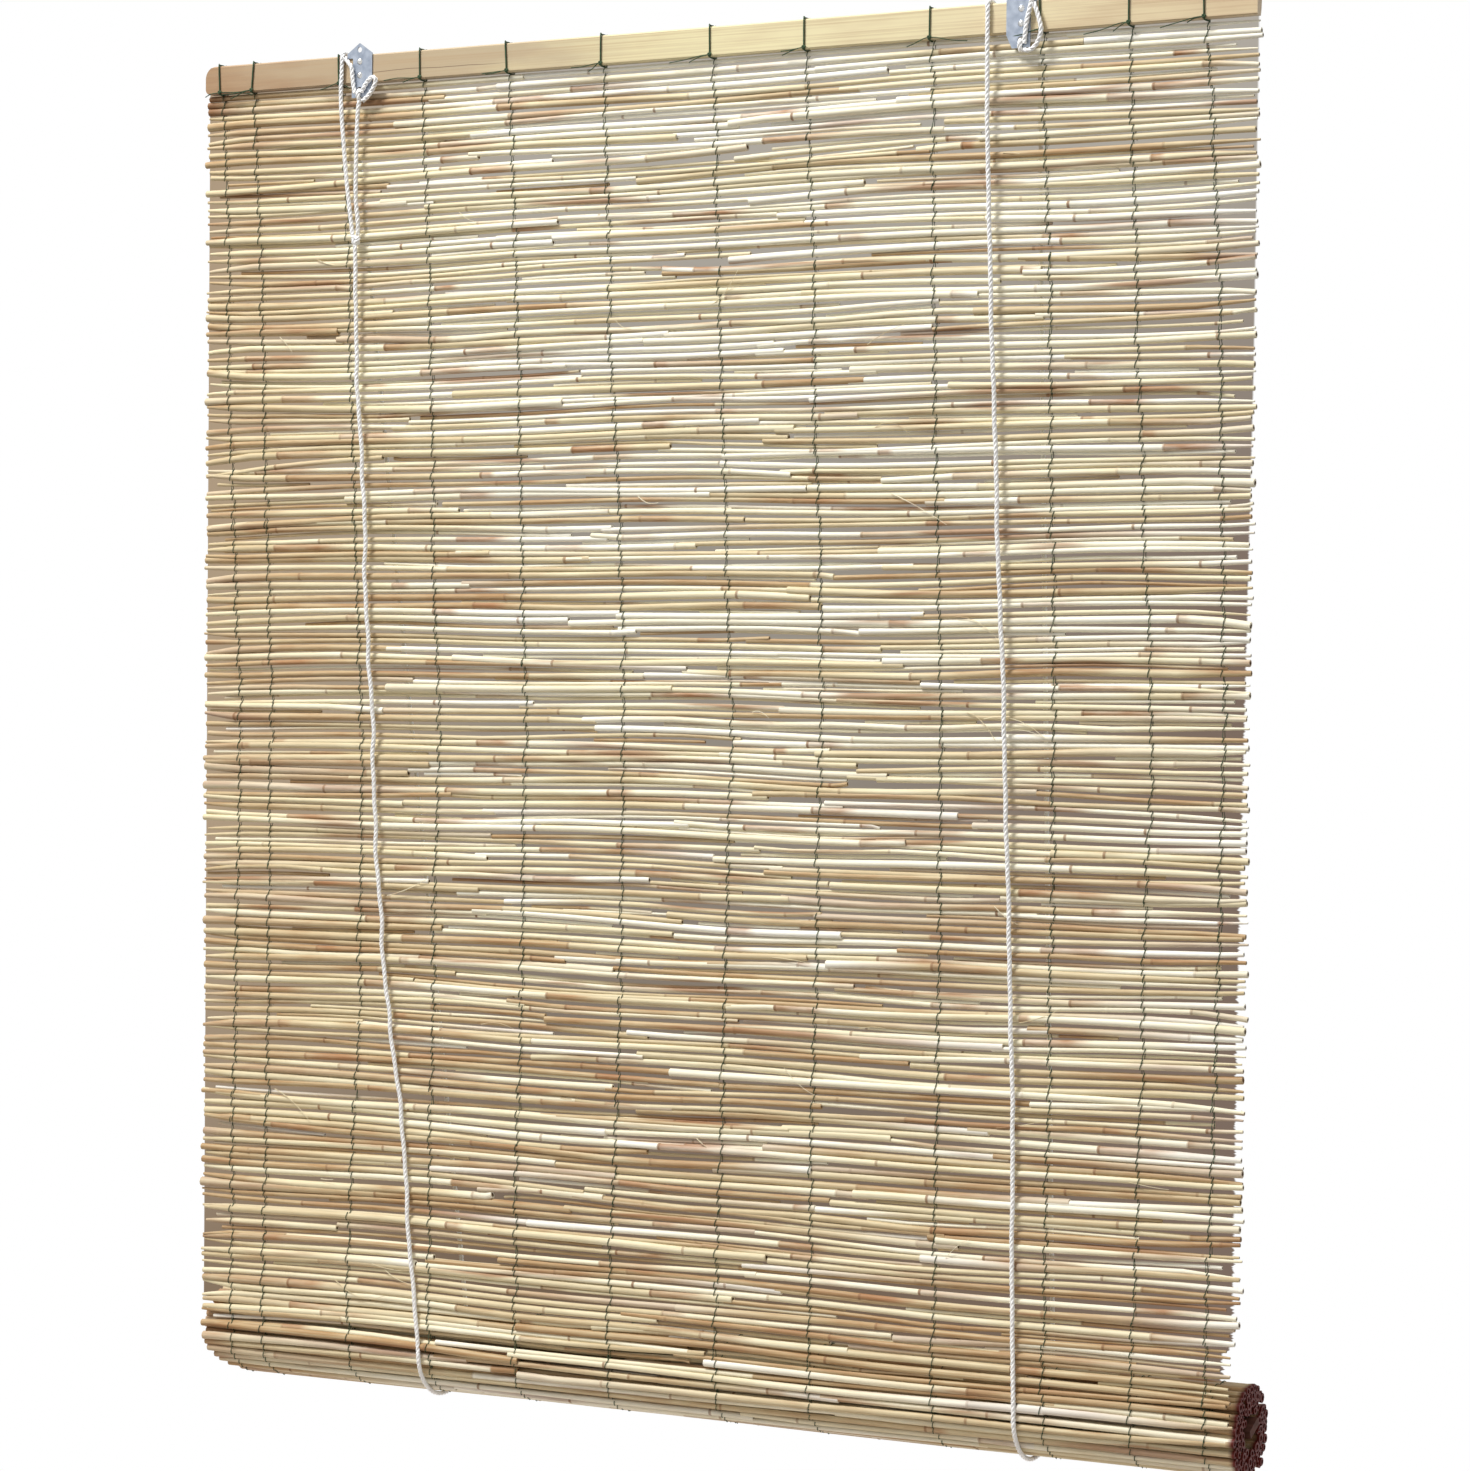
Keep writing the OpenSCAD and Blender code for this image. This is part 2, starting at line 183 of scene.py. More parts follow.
def mixOf(tree, share, under, over):
    mixed = addNode(tree, "ShaderNodeMix", data_type="RGBA")
    for socket, value in ((mixed.inputs[0], share), (mixed.inputs[6], under), (mixed.inputs[7], over)):
        if isinstance(value, bpy.types.NodeSocket):
            tree.links.new(value, socket)
        else:
            socket.default_value = value if isinstance(value, float) else (*value, 1)
    return mixed.outputs[2]


def attributeOf(tree, label):
    return addNode(tree, "ShaderNodeAttribute", attribute_name=label).outputs["Fac"]


def bumpOf(tree, shader, height, strength, distance):
    bump = addNode(tree, "ShaderNodeBump", {"Height": height, "Strength": strength, "Distance": distance})
    tree.links.new(bump.outputs[0], shader.inputs["Normal"])


def rangeOf(tree, value, low, high, start=0.0, end=1.0):
    return addNode(tree, "ShaderNodeMapRange", {"Value": value, "From Min": low, "From Max": high,
                                                "To Min": start, "To Max": end}).outputs[0]


def timesOf(tree, a, b):
    return addNode(tree, "ShaderNodeMath", {0: a, 1: b}, operation="MULTIPLY").outputs[0]


def spotOf(tree):
    place = addNode(tree, "ShaderNodeTexCoord").outputs["Object"]
    return addNode(tree, "ShaderNodeSeparateXYZ", {0: place}).outputs


reedLook = {
    "tones": [(0.0, (0.89, 0.85, 0.715)), (0.22, (0.83, 0.767, 0.575)), (0.42, (0.72, 0.63, 0.415)),
              (0.62, (0.57, 0.455, 0.27)), (0.8, (0.40, 0.24, 0.11)), (1.0, (0.24, 0.12, 0.06))],
    "butt": (0.92, 0.90, 0.82), "sheath": (0.37, 0.175, 0.075), "joint": (0.25, 0.13, 0.06),
    # painted shade: the roll's right end, which lies in shadow, is coloured near-black maroon
    "bore": (0.24, 0.15, 0.08), "rolledEndShade": (0.095, 0.01, 0.006),
    "fibre": (5, 800, 800), "blotch": (28, 160, 160), "lines": (12, 2600, 2600),
    "patch": (0.31, 0.15, 0.065), "patchGrain": (5, 75, 75), "patchFrom": (0.58, 0.69), "patchShare": 0.85,
    "fibreAmount": 0.34, "blotchAmount": 0.3, "sheathBase": 0.7, "sheathBlotch": 1.6,
    "bump": (0.25, 0.0003),                        # strength, distance
}


def reedMaterial():
    made, tree, shader = newMaterial("reed", Roughness=0.5, Specular_IOR_Level=0.22)
    blotch = grainOf(tree, reedLook["blotch"])
    tone = sumOf(tree, attributeOf(tree, "tone"), grainOf(tree, reedLook["fibre"]),
                 reedLook["fibreAmount"])
    tone = sumOf(tree, tone, blotch, reedLook["blotchAmount"])
    colour = rampOf(tree, tone, reedLook["tones"])
    patch = rangeOf(tree, grainOf(tree, reedLook["patchGrain"]), *reedLook["patchFrom"],
                    0.0, reedLook["patchShare"])
    colour = mixOf(tree, patch, colour, reedLook["patch"])
    # the dark brown inside the hollow reed ends and the near-black roll end are painted shade
    for label in ("butt", "sheath", "joint", "bore", "rolledEndShade"):
        share = attributeOf(tree, label)
        if label == "sheath":
            patchy = sumOf(tree, reedLook["sheathBase"], blotch, reedLook["sheathBlotch"])
            share = addNode(tree, "ShaderNodeMath", {0: share, 1: patchy},
                            operation="MULTIPLY", use_clamp=True).outputs[0]
        colour = mixOf(tree, share, colour, reedLook[label])
    tree.links.new(colour, shader.inputs["Base Color"])
    bumpOf(tree, shader, grainOf(tree, reedLook["lines"]), *reedLook["bump"])
    return made


bambooLook = {
    "along": [(0.0, (0.36, 0.22, 0.12)), (0.12, (0.45, 0.34, 0.215)), (0.3, (0.50, 0.40, 0.255)),
              (0.5, (0.78, 0.70, 0.42)), (0.78, (0.75, 0.64, 0.40)), (1.0, (0.64, 0.50, 0.31))],
    "ends": (-0.483, 0.517), "streak": (3, 300, 700), "stainGrain": (11, 20, 55), "stainAmount": 0.35,
    "dirtFrom": (0.42, 0.75), "dirtMost": 0.55, "dirtAmount": 0.8, "crackGrain": (9, 0.01, 0.01),
    "bump": (0.2, 0.0004),                         # strength, distance
    "stain": (0.44, 0.29, 0.16), "crack": (0.11, 0.06, 0.03), "crackX": (-0.33, -0.3, -0.2, -0.16),
    "crackZ": -20.5 * mm, "crackWander": 6 * mm, "crackHalf": 0.45 * mm,
}


def bambooMaterial():
    made, tree, shader = newMaterial("bamboo", Roughness=0.42, Specular_IOR_Level=0.45)
    spot = spotOf(tree)
    streak = grainOf(tree, bambooLook["streak"], 4.0)
    stain = grainOf(tree, bambooLook["stainGrain"])
    along = sumOf(tree, rangeOf(tree, spot["X"], *bambooLook["ends"]), stain, bambooLook["stainAmount"])
    colour = rampOf(tree, along, bambooLook["along"])
    dirt = rangeOf(tree, streak, *bambooLook["dirtFrom"], 0.0, bambooLook["dirtMost"])
    dirt = sumOf(tree, dirt, stain, bambooLook["dirtAmount"])
    colour = mixOf(tree, addNode(tree, "ShaderNodeClamp", {0: dirt}).outputs[0], colour, bambooLook["stain"])
    x0, x1, x2, x3 = bambooLook["crackX"]
    wander = sumOf(tree, bambooLook["crackZ"], grainOf(tree, bambooLook["crackGrain"]),
                   bambooLook["crackWander"])
    off = addNode(tree, "ShaderNodeMath", {0: spot["Z"], 1: wander}, operation="SUBTRACT").outputs[0]
    away = addNode(tree, "ShaderNodeMath", {0: off}, operation="ABSOLUTE").outputs[0]
    crack = rangeOf(tree, away, 0.0, bambooLook["crackHalf"], 1.0, 0.0)
    crack = timesOf(tree, crack, rangeOf(tree, spot["X"], x0, x1))
    crack = timesOf(tree, crack, rangeOf(tree, spot["X"], x2, x3, 1.0, 0.0))
    tree.links.new(mixOf(tree, crack, colour, bambooLook["crack"]), shader.inputs["Base Color"])
    bumpOf(tree, shader, streak, *bambooLook["bump"])
    return made


def threadMaterial():
    made, tree, shader = newMaterial("greenThread", Roughness=0.8, Specular_IOR_Level=0.2)
    colour = rampOf(tree, grainOf(tree, (300, 300, 300)),
                    [(0.3, (0.028, 0.05, 0.026)), (0.7, (0.065, 0.105, 0.055))])
    tree.links.new(colour, shader.inputs["Base Color"])
    return made


def cordMaterial():
    made, tree, shader = newMaterial("whiteCord", Roughness=0.75, Specular_IOR_Level=0.25, Sheen_Weight=0.15)
    colour = rampOf(tree, grainOf(tree, (90, 90, 90)),
                    [(0.3, (0.90, 0.89, 0.87)), (0.7, (0.96, 0.96, 0.96))])
    tree.links.new(colour, shader.inputs["Base Color"])
    bumpOf(tree, shader, grainOf(tree, (2500, 2500, 2500)), 0.3, 0.0002)
    return made


def zincMaterial():
    made, tree, shader = newMaterial("zinc", Metallic=0.75)
    spangle = grainOf(tree, (160, 160, 160))
    tree.links.new(rampOf(tree, spangle, [(0.3, (0.29, 0.335, 0.41)), (0.7, (0.43, 0.475, 0.55))]),
                   shader.inputs["Base Color"])
    tree.links.new(sumOf(tree, 0.38, spangle, 0.25), shader.inputs["Roughness"])
    return made


def screwMaterial():
    made, tree, shader = newMaterial("screwSteel", Metallic=1.0)
    scuff = grainOf(tree, (700, 700, 700))
    tree.links.new(rampOf(tree, scuff, [(0.35, (0.52, 0.52, 0.51)), (0.65, (0.66, 0.66, 0.64))]),
                   shader.inputs["Base Color"])
    tree.links.new(sumOf(tree, 0.26, scuff, 0.3), shader.inputs["Roughness"])
    return made


def battenMaterial():
    # Painted shade: the batten in the roll's core is coloured near-black brown, as dark as the roll's shaded
    # end
    made, tree, shader = newMaterial("battenShadeBamboo", Roughness=0.65, Specular_IOR_Level=0.15)
    streak = grainOf(tree, (4, 260, 260))
    tree.links.new(rampOf(tree, streak, [(0.3, (0.06, 0.02, 0.013)), (0.7, (0.11, 0.043, 0.028))]),
                   shader.inputs["Base Color"])
    bumpOf(tree, shader, streak, 0.2, 0.0004)
    return made


reedStuff = reedMaterial()
bambooStuff = bambooMaterial()
threadStuff = threadMaterial()
cordStuff = cordMaterial()
zincStuff = zincMaterial()
screwStuff = screwMaterial()
battenStuff = battenMaterial()
print("materials made")


# Geometry node groups: stems with bored ends, plain strands, laid rope
def stemGroup():
    tree, source = newGroup("reedStems", {"Sides": "NodeSocketInt", "Bore": "NodeSocketFloat",
                                          "Recess": "NodeSocketFloat"})
    lines = addNode(tree, "GeometryNodeMeshToCurve", {"Mesh": source["Geometry"]})
    lines = addNode(tree, "GeometryNodeSetCurveNormal", {"Curve": lines.outputs[0]}, mode="Z_UP")
    girth = addNode(tree, "GeometryNodeInputNamedAttribute", {"Name": "girth"}, data_type="FLOAT")
    ring = addNode(tree, "GeometryNodeCurvePrimitiveCircle", {"Resolution": source["Sides"], "Radius": 1.0})
    tubes = addNode(tree, "GeometryNodeCurveToMesh",
                    {"Curve": lines.outputs[0], "Profile Curve": ring.outputs[0],
                     "Scale": girth.outputs[0], "Fill Caps": False})
    rim = addNode(tree, "GeometryNodeMeshCone",
                  {"Vertices": source["Sides"], "Radius Top": source["Bore"], "Radius Bottom": 1.0,
                   "Depth": 0.06}, fill_type="NONE")
    wall = addNode(tree, "GeometryNodeMeshCone",
                   {"Vertices": source["Sides"], "Radius Top": source["Bore"],
                    "Radius Bottom": source["Bore"], "Depth": source["Recess"]}, fill_type="NGON")
    down = addNode(tree, "ShaderNodeCombineXYZ",
                   {"Z": addNode(tree, "ShaderNodeMath", {0: 0.05, 1: source["Recess"]},
                                 operation="SUBTRACT").outputs[0]})
    sunk = addNode(tree, "GeometryNodeTransform",
                   {"Geometry": wall.outputs["Mesh"], "Translation": down.outputs[0]})
    unlidded = addNode(tree, "GeometryNodeDeleteGeometry",
                       {"Geometry": sunk.outputs[0], "Selection": wall.outputs["Top"]}, domain="FACE")
    inside = addNode(tree, "GeometryNodeFlipFaces", {"Mesh": unlidded.outputs[0]})
    # Painted shade: the inner wall of each bored end is marked bore and coloured dark brown, standing in for
    # the shade inside the hollow
    dark = addNode(tree, "GeometryNodeStoreNamedAttribute",
                   {"Geometry": inside.outputs[0], "Name": "bore", "Value": 1.0},
                   data_type="FLOAT", domain="POINT")
    collar = addNode(tree, "GeometryNodeJoinGeometry", {"Geometry": rim.outputs["Mesh"]})
    tree.links.new(dark.outputs[0], collar.inputs[0])
    tangent = addNode(tree, "GeometryNodeInputTangent").outputs[0]
    parts = [tubes.outputs[0]]
    for start, turn in ((1, -1.0), (0, 1.0)):
        ends = addNode(tree, "GeometryNodeCurveEndpointSelection",
                       {"Start Size": start, "End Size": 1 - start})
        outward = addNode(tree, "ShaderNodeVectorMath", {0: tangent, "Scale": turn}, operation="SCALE")
        facing = addNode(tree, "FunctionNodeAlignRotationToVector", {"Vector": outward.outputs[0]}, axis="Z")
        capped = addNode(tree, "GeometryNodeInstanceOnPoints",
                         {"Points": lines.outputs[0], "Selection": ends.outputs[0],
                          "Instance": collar.outputs[0], "Rotation": facing.outputs[0],
                          "Scale": girth.outputs[0]})
        parts.append(capped.outputs[0])
    joined = addNode(tree, "GeometryNodeJoinGeometry")
    for part in parts:
        tree.links.new(part, joined.inputs[0])
    return closeGroup(tree, source, joined.outputs[0])


def strandGroup():
    tree, source = newGroup("plainStrands", {"Sides": "NodeSocketInt"})
    lines = addNode(tree, "GeometryNodeMeshToCurve", {"Mesh": source["Geometry"]})
    girth = addNode(tree, "GeometryNodeInputNamedAttribute", {"Name": "girth"}, data_type="FLOAT")
    ring = addNode(tree, "GeometryNodeCurvePrimitiveCircle", {"Resolution": source["Sides"], "Radius": 1.0})
    tubes = addNode(tree, "GeometryNodeCurveToMesh",
                    {"Curve": lines.outputs[0], "Profile Curve": ring.outputs[0],
                     "Scale": girth.outputs[0], "Fill Caps": True})
    return closeGroup(tree, source, tubes.outputs[0])


def ropeGroup():
    tree, source = newGroup("laidRope", {"Strands": "NodeSocketInt", "Lay radius": "NodeSocketFloat",
                                         "Strand radius": "NodeSocketFloat", "Lay length": "NodeSocketFloat",
                                         "Sides": "NodeSocketInt"})
    lines = addNode(tree, "GeometryNodeMeshToCurve", {"Mesh": source["Geometry"]})
    copies = addNode(tree, "GeometryNodeDuplicateElements",
                     {"Geometry": lines.outputs[0], "Amount": source["Strands"]}, domain="SPLINE")
    along = addNode(tree, "GeometryNodeSplineParameter").outputs["Length"]
    turns = addNode(tree, "ShaderNodeMath", {0: along, 1: source["Lay length"]}, operation="DIVIDE")
    share = addNode(tree, "ShaderNodeMath", {0: copies.outputs[1], 1: source["Strands"]}, operation="DIVIDE")
    phase = addNode(tree, "ShaderNodeMath", {0: turns.outputs[0], 1: share.outputs[0]}, operation="ADD")
    angle = addNode(tree, "ShaderNodeMath", {0: phase.outputs[0], 1: 2 * math.pi}, operation="MULTIPLY")
    normal = addNode(tree, "GeometryNodeInputNormal").outputs[0]
    tangent = addNode(tree, "GeometryNodeInputTangent").outputs[0]
    spin = addNode(tree, "ShaderNodeVectorRotate", {"Vector": normal, "Center": (0, 0, 0), "Axis": tangent,
                                                    "Angle": angle.outputs[0]}, rotation_type="AXIS_ANGLE")
    offset = addNode(tree, "ShaderNodeVectorMath", {0: spin.outputs[0], "Scale": source["Lay radius"]},
                     operation="SCALE")
    laid = addNode(tree, "GeometryNodeSetPosition",
                   {"Geometry": copies.outputs[0], "Offset": offset.outputs[0]})
    ring = addNode(tree, "GeometryNodeCurvePrimitiveCircle",
                   {"Resolution": source["Sides"], "Radius": source["Strand radius"]})
    tubes = addNode(tree, "GeometryNodeCurveToMesh",
                    {"Curve": laid.outputs[0], "Profile Curve": ring.outputs[0], "Fill Caps": True})
    return closeGroup(tree, source, tubes.outputs[0])


stemTree = stemGroup()
strandTree = strandGroup()
ropeTree = ropeGroup()
print("node groups made")

# Reeds of the open mat
reedSpec = {
    "pitch": 6.6 * mm, "firstRow": -32.7 * mm, "rows": 169, "heldRows": 26, "straightRows": 8,
    "girth": 2.62 * mm, "girths": (0.72, 1.22), "lengths": (0.22, 0.7), "shortest": 0.14,
    "ragged": 1.2 * mm, "wave": 1.4 * mm, "waves": (7.5, 17), "secondWave": 0.6, "leastWave": 0.3,
    "tips": (0.4, 0.65, 1.0), "short": 8 * mm, "shortFrom": 154, "shortOver": 6,
    "sides": 8, "bore": 0.55, "recess": 2.2, "seed": 41,
}
held = reedSpec["heldRows"]                        # these rows make the upper piece, the rest the lower
stemSpec = {
    "nodeGap": (0.12, 0.36), "firstNode": 0.03, "lastNode": 0.015, "ringHalf": 0.8 * mm, "ringFade": 1.6 * mm,
    "ring": (0.2, 0.9), "ringGirth": 1.1, "neckGirth": 0.98, "sheathed": 0.5, "sheath": (0.3, 1.0),
    "scar": (10, 90), "scarFade": 0.6, "scarEnd": 0.01, "step": 50 * mm, "firstStep": (0.03, 0.05),
    "lastStep": 0.02, "endPoints": (1.5 * mm, 6 * mm), "tip": 55 * mm, "fray": 1.5 * mm,
    "bend": 0.014, "mostBend": 1.8 * mm, "bendIn": 0.006, "mostBendIn": 0.8 * mm,
    "sway": 0.55 * mm, "swayLength": (0.16, 0.5), "pale": (0.03, 0.16), "butts": (0.0, 0.3, 0.75),
    "toneStep": 0.08, "mostTone": 0.74, "dark": 0.36, "darkShare": 0.09, "thickEnd": 1.1, "taper": 0.2,
}
stemLabels = ("girth", "tone", "butt", "sheath", "joint", "rolledEndShade")


def bendOf(rng, s, corners, size, most):
    turns = np.concatenate([[0], np.cumsum(rng.normal(0, size, len(corners) - 1))])
    rise = np.concatenate([[0], np.cumsum(np.diff(corners) * turns[1:])])
    rise -= np.linspace(rise[0], rise[-1], len(rise))
    return np.clip(np.interp(s, corners, rise), -most, most)


def swayOf(rng, s, size):
    swing = rng.normal(0, size)
    return swing * np.sin(2 * math.pi * (s / rng.uniform(*stemSpec["swayLength"]) + rng.random()))


def growStem(rng, start, end, edges, girth, tone, wander, place):
    length = end - start
    marks = [[0.0, 1.0, 0, 0]]                     # along, swelling, joint, sheath
    at = rng.uniform(stemSpec["firstNode"], stemSpec["nodeGap"][1])
    half, fade = stemSpec["ringHalf"], stemSpec["ringFade"]
    thick, neck = stemSpec["ringGirth"], stemSpec["neckGirth"]
    nodes = []
    while at < length - stemSpec["lastNode"]:
        sheath = rng.uniform(*stemSpec["sheath"]) if rng.random() < stemSpec["sheathed"] else 0
        scar = rng.uniform(*stemSpec["scar"]) * mm
        ring = rng.uniform(*stemSpec["ring"])
        marks += [[at - fade, 1.0, 0, 0], [at - half, thick, ring, 0], [at + half, thick, ring, sheath],
                  [at + fade, neck, 0, sheath]]
        if sheath and at + scar < length - stemSpec["scarEnd"]:
            marks += [[at + stemSpec["scarFade"] * scar, 1.0, 0, sheath], [at + scar, 1.0, 0, 0]]
        nodes.append(at)
        at += rng.uniform(*stemSpec["nodeGap"])
    marks = np.array(sorted(marks + [[length, 1.0, 0, 0]]))
    near = np.array(stemSpec["endPoints"])
    between = np.arange(rng.uniform(*stemSpec["firstStep"]), length - stemSpec["lastStep"], stemSpec["step"])
    s = np.unique(np.concatenate([marks[:, 0], near, length - near, between]))
    swelling, joint, sheath = (np.interp(s, marks[:, 0], marks[:, k]) for k in (1, 2, 3))
    corners = np.array([0.0, *nodes, length])
    fray = np.zeros(len(s))
    for edge in edges:
        nearEdge = np.clip(1 - abs(start + s - edge) / stemSpec["tip"], 0, 1)
        fray = fray + rng.normal(0, stemSpec["fray"]) * nearEdge**2
    drift = (np.interp(s, [0, length], wander[:2])
             + bendOf(rng, s, corners, stemSpec["bend"], stemSpec["mostBend"]) + fray)
    drift += swayOf(rng, s, stemSpec["sway"])
    depth = wander[2] + bendOf(rng, s, corners, stemSpec["bendIn"], stemSpec["mostBendIn"])
    fromButt = s if rng.random() < 0.5 else length - s      # either end may be the butt
    paleLength = rng.uniform(*stemSpec["pale"])
    uneven = stemSpec["toneStep"]
    steps = tone + rng.normal(0, uneven, len(corners))      # each length between joints has its own tone
    steps += stemSpec["dark"] * (rng.random(len(corners)) < stemSpec["darkShare"])
    steps = steps[np.searchsorted(nodes, s)] + np.interp(s, [0, length], rng.normal(0, uneven, 2))
    steps = steps + swayOf(rng, s, uneven)
    return {
        "points": place(start + s, drift, depth),
        "girth": girth * swelling * (stemSpec["thickEnd"] - stemSpec["taper"] * fromButt / length),
        "tone": np.clip(steps, 0.0, stemSpec["mostTone"]),
        "butt": rng.choice(stemSpec["butts"]) * np.exp(-(fromButt / paleLength)**2),
        "sheath": sheath, "joint": joint, "rolledEndShade": np.zeros(len(s)),
    }


def layRow(rng, left, right):
    cuts = [left]
    at = left + rng.uniform(reedSpec["shortest"], reedSpec["lengths"][1])
    while at < right - reedSpec["shortest"]:
        cuts.append(at)
        at += rng.uniform(*reedSpec["lengths"])
    cuts.append(right)
    return list(zip(cuts[:-1], cuts[1:]))


toneSpec = {
    "spread": (1.2, 2.6), "most": 0.52, "paler": 0.1, "lower": 0.34, "foot": 0.06,      # darker down the mat
    "leftFrom": -0.2, "leftOver": 0.24, "stain": 0.4, "stainFade": 0.27, "topStain": 0.25, "topDepth": 0.07,
    "stubDepth": 0.016, "stubLength": 0.04, "stubFade": 0.006,
    "calm": 0.5, "calmFade": 0.85, "calmTone": 0.63, "leftButt": 0.8, "leftGirth": 0.14,
}
rowSpec = {
    "lapped": 0.4, "lap": (6, 40), "gap": (-2, 1), "thickDepth": (0.5, 0.9), "thick": (1, 1.06),
    "wander": 0.85, "wanderIn": 0.4, "steep": 0.15, "steepLower": 0.1, "steepWander": 2.8,
    "steepIn": -1.0 * mm, "step": 0.8 * mm,
}


def toneAt(rng, depth):
    pale = min(rng.beta(*toneSpec["spread"]), toneSpec["most"]) - toneSpec["paler"]
    return pale + toneSpec["lower"] * depth + toneSpec["foot"] * depth**6


def leftShare(x):
    return np.clip((toneSpec["leftFrom"] - x) / toneSpec["leftOver"], 0, 1)


def stainAt(x, depth):
    top = toneSpec["topStain"] * max(0, 1 - depth / toneSpec["topDepth"])
    return leftShare(x) * (toneSpec["stain"] - toneSpec["stainFade"] * depth + top)


def stubAt(x, depth):
    inside = np.clip((matLow.x + toneSpec["stubLength"] - x) / toneSpec["stubFade"], 0, 1)
    return (depth < toneSpec["stubDepth"]) * inside


def growRow(rng, depth, placeRow, left, right, ragged, tips, girths):
    stems = []
    left += rng.normal(0, 1) * ragged
    right += rng.normal(0, 1) * ragged
    lift = rng.choice((-1, 1))
    for i, (a, b) in enumerate(layRow(rng, left, right)):
        lap = rng.uniform(*rowSpec["lap" if rng.random() < rowSpec["lapped"] else "gap"]) * mm
        a -= lap / 2 if a > left else 0
        b += lap / 2 if b < right else 0
        thicker = np.interp(depth, rowSpec["thickDepth"], rowSpec["thick"])
        girth = reedSpec["girth"] * rng.uniform(*girths) * thicker
        wander = [*(rng.normal(0, rowSpec["wander"], 2) * mm), rng.normal(0, rowSpec["wanderIn"]) * mm]
        if rng.random() < rowSpec["steep"] + rowSpec["steepLower"] * depth:
            wander = [*(rng.normal(0, rowSpec["steepWander"], 2) * mm), rowSpec["steepIn"]]
        wander[0] += lift * rowSpec["step"] * (i % 2)
        wander[1] -= lift * rowSpec["step"] * ((i + 1) % 2)
        tone = toneAt(rng, depth)
        stem = growStem(rng, a, b, (left, right), girth, tone, wander, placeRow)
        along = stem["points"][:, 0]
        aged = leftShare(along)
        calm = toneSpec["calm"] * (1 - toneSpec["calmFade"] * depth)
        stem["tone"] = np.clip(stem["tone"] + stainAt(along, depth), 0.0, stemSpec["mostTone"])
        stem["tone"] += calm * aged * (toneSpec["calmTone"] - stem["tone"])
        stem["joint"] = np.maximum(stem["joint"], stubAt(along, depth))
        stem["butt"] *= 1 - toneSpec["leftButt"] * aged
        stem["girth"] *= 1 + toneSpec["leftGirth"] * aged
        toEnd = np.minimum(right - along, (along - left) * 2)
        stem["girth"] *= np.interp(toEnd, [0, stemSpec["tip"]], [rng.choice(tips), 1])
        stems.append(stem)
    return stems


def stemMesh(name, stems):
    return lineMesh(name, [s["points"] for s in stems], {k: [s[k] for s in stems] for k in stemLabels})


def matPlacer(rowZ, phase, free):
    def placeRow(x, drift, depth):
        first, second = reedSpec["waves"]
        wave = np.sin(first * x + phase[0]) + reedSpec["secondWave"] * np.sin(second * x + phase[1])
        least = reedSpec["leastWave"]
        rise = (drift + reedSpec["wave"] * wave) * (least + (1 - least) * free)
        return np.stack([x, matY + depth, rowZ + rise], 1)
    return placeRow


stemSettings = {"Sides": reedSpec["sides"], "Bore": reedSpec["bore"], "Recess": reedSpec["recess"],
                "Material": reedStuff}
rng = np.random.default_rng(reedSpec["seed"])
matRows = []
phase = rng.uniform(0, 6, 2)
for i in range(reedSpec["rows"]):
    free = min(1, i / reedSpec["straightRows"])    # the top rows lie straight along the rail
    rowZ = reedSpec["firstRow"] - i * reedSpec["pitch"] + rng.normal(0, 0.5) * mm * free
    phase = phase + rng.normal(0, 0.4, 2)
    short = reedSpec["short"] * min(1, max(0, i - reedSpec["shortFrom"]) / reedSpec["shortOver"])
    matRows.append(growRow(rng, i / reedSpec["rows"], matPlacer(rowZ, phase, free), matLow.x,
                           matHigh.x - short, reedSpec["ragged"], reedSpec["tips"], reedSpec["girths"]))

# Thin reeds that fill most of the wide gaps, and some that lie anywhere
thinSpec = {"stray": 40, "length": (0.12, 0.45), "girths": (0.3, 0.58), "tilt": 1.5 * mm, "behind": 0.9 * mm,
            "looks": 41, "lookEnds": (0.012, 0.014), "wide": 2.7 * mm, "always": 3.8 * mm, "run": 5,
            "filled": 0.72, "share": 0.36, "most": 1.5 * mm, "fillTilt": 0.3 * mm, "fillEnd": 0.011}


def reedAt(stems, x):
    found = []
    for stem in stems:
        along = stem["points"][:, 0]
        if along[0] <= x <= along[-1]:
            found.append([np.interp(x, along, v) for v in (stem["girth"], *stem["points"][:, 1:].T)])
    girth, y, z = max(found, default=[reedSpec["girth"], *stems[0]["points"][0, 1:]])
    return girth, np.array([y, z])


def growThin(rng, i, start, end, girth, tilt, levelAt):
    depth = i / reedSpec["rows"]
    tone = toneAt(rng, depth)
    wander = [*rng.normal(0, tilt, 2), thinSpec["behind"]]
    thin = growStem(rng, start, end, (), girth, tone, wander,
                    lambda x, drift, inward: np.stack([x, matY + inward, levelAt(x) + drift], 1))
    thin["tone"] = np.clip(thin["tone"] + stainAt(thin["points"][:, 0], depth), 0.0, stemSpec["mostTone"])
    return thin


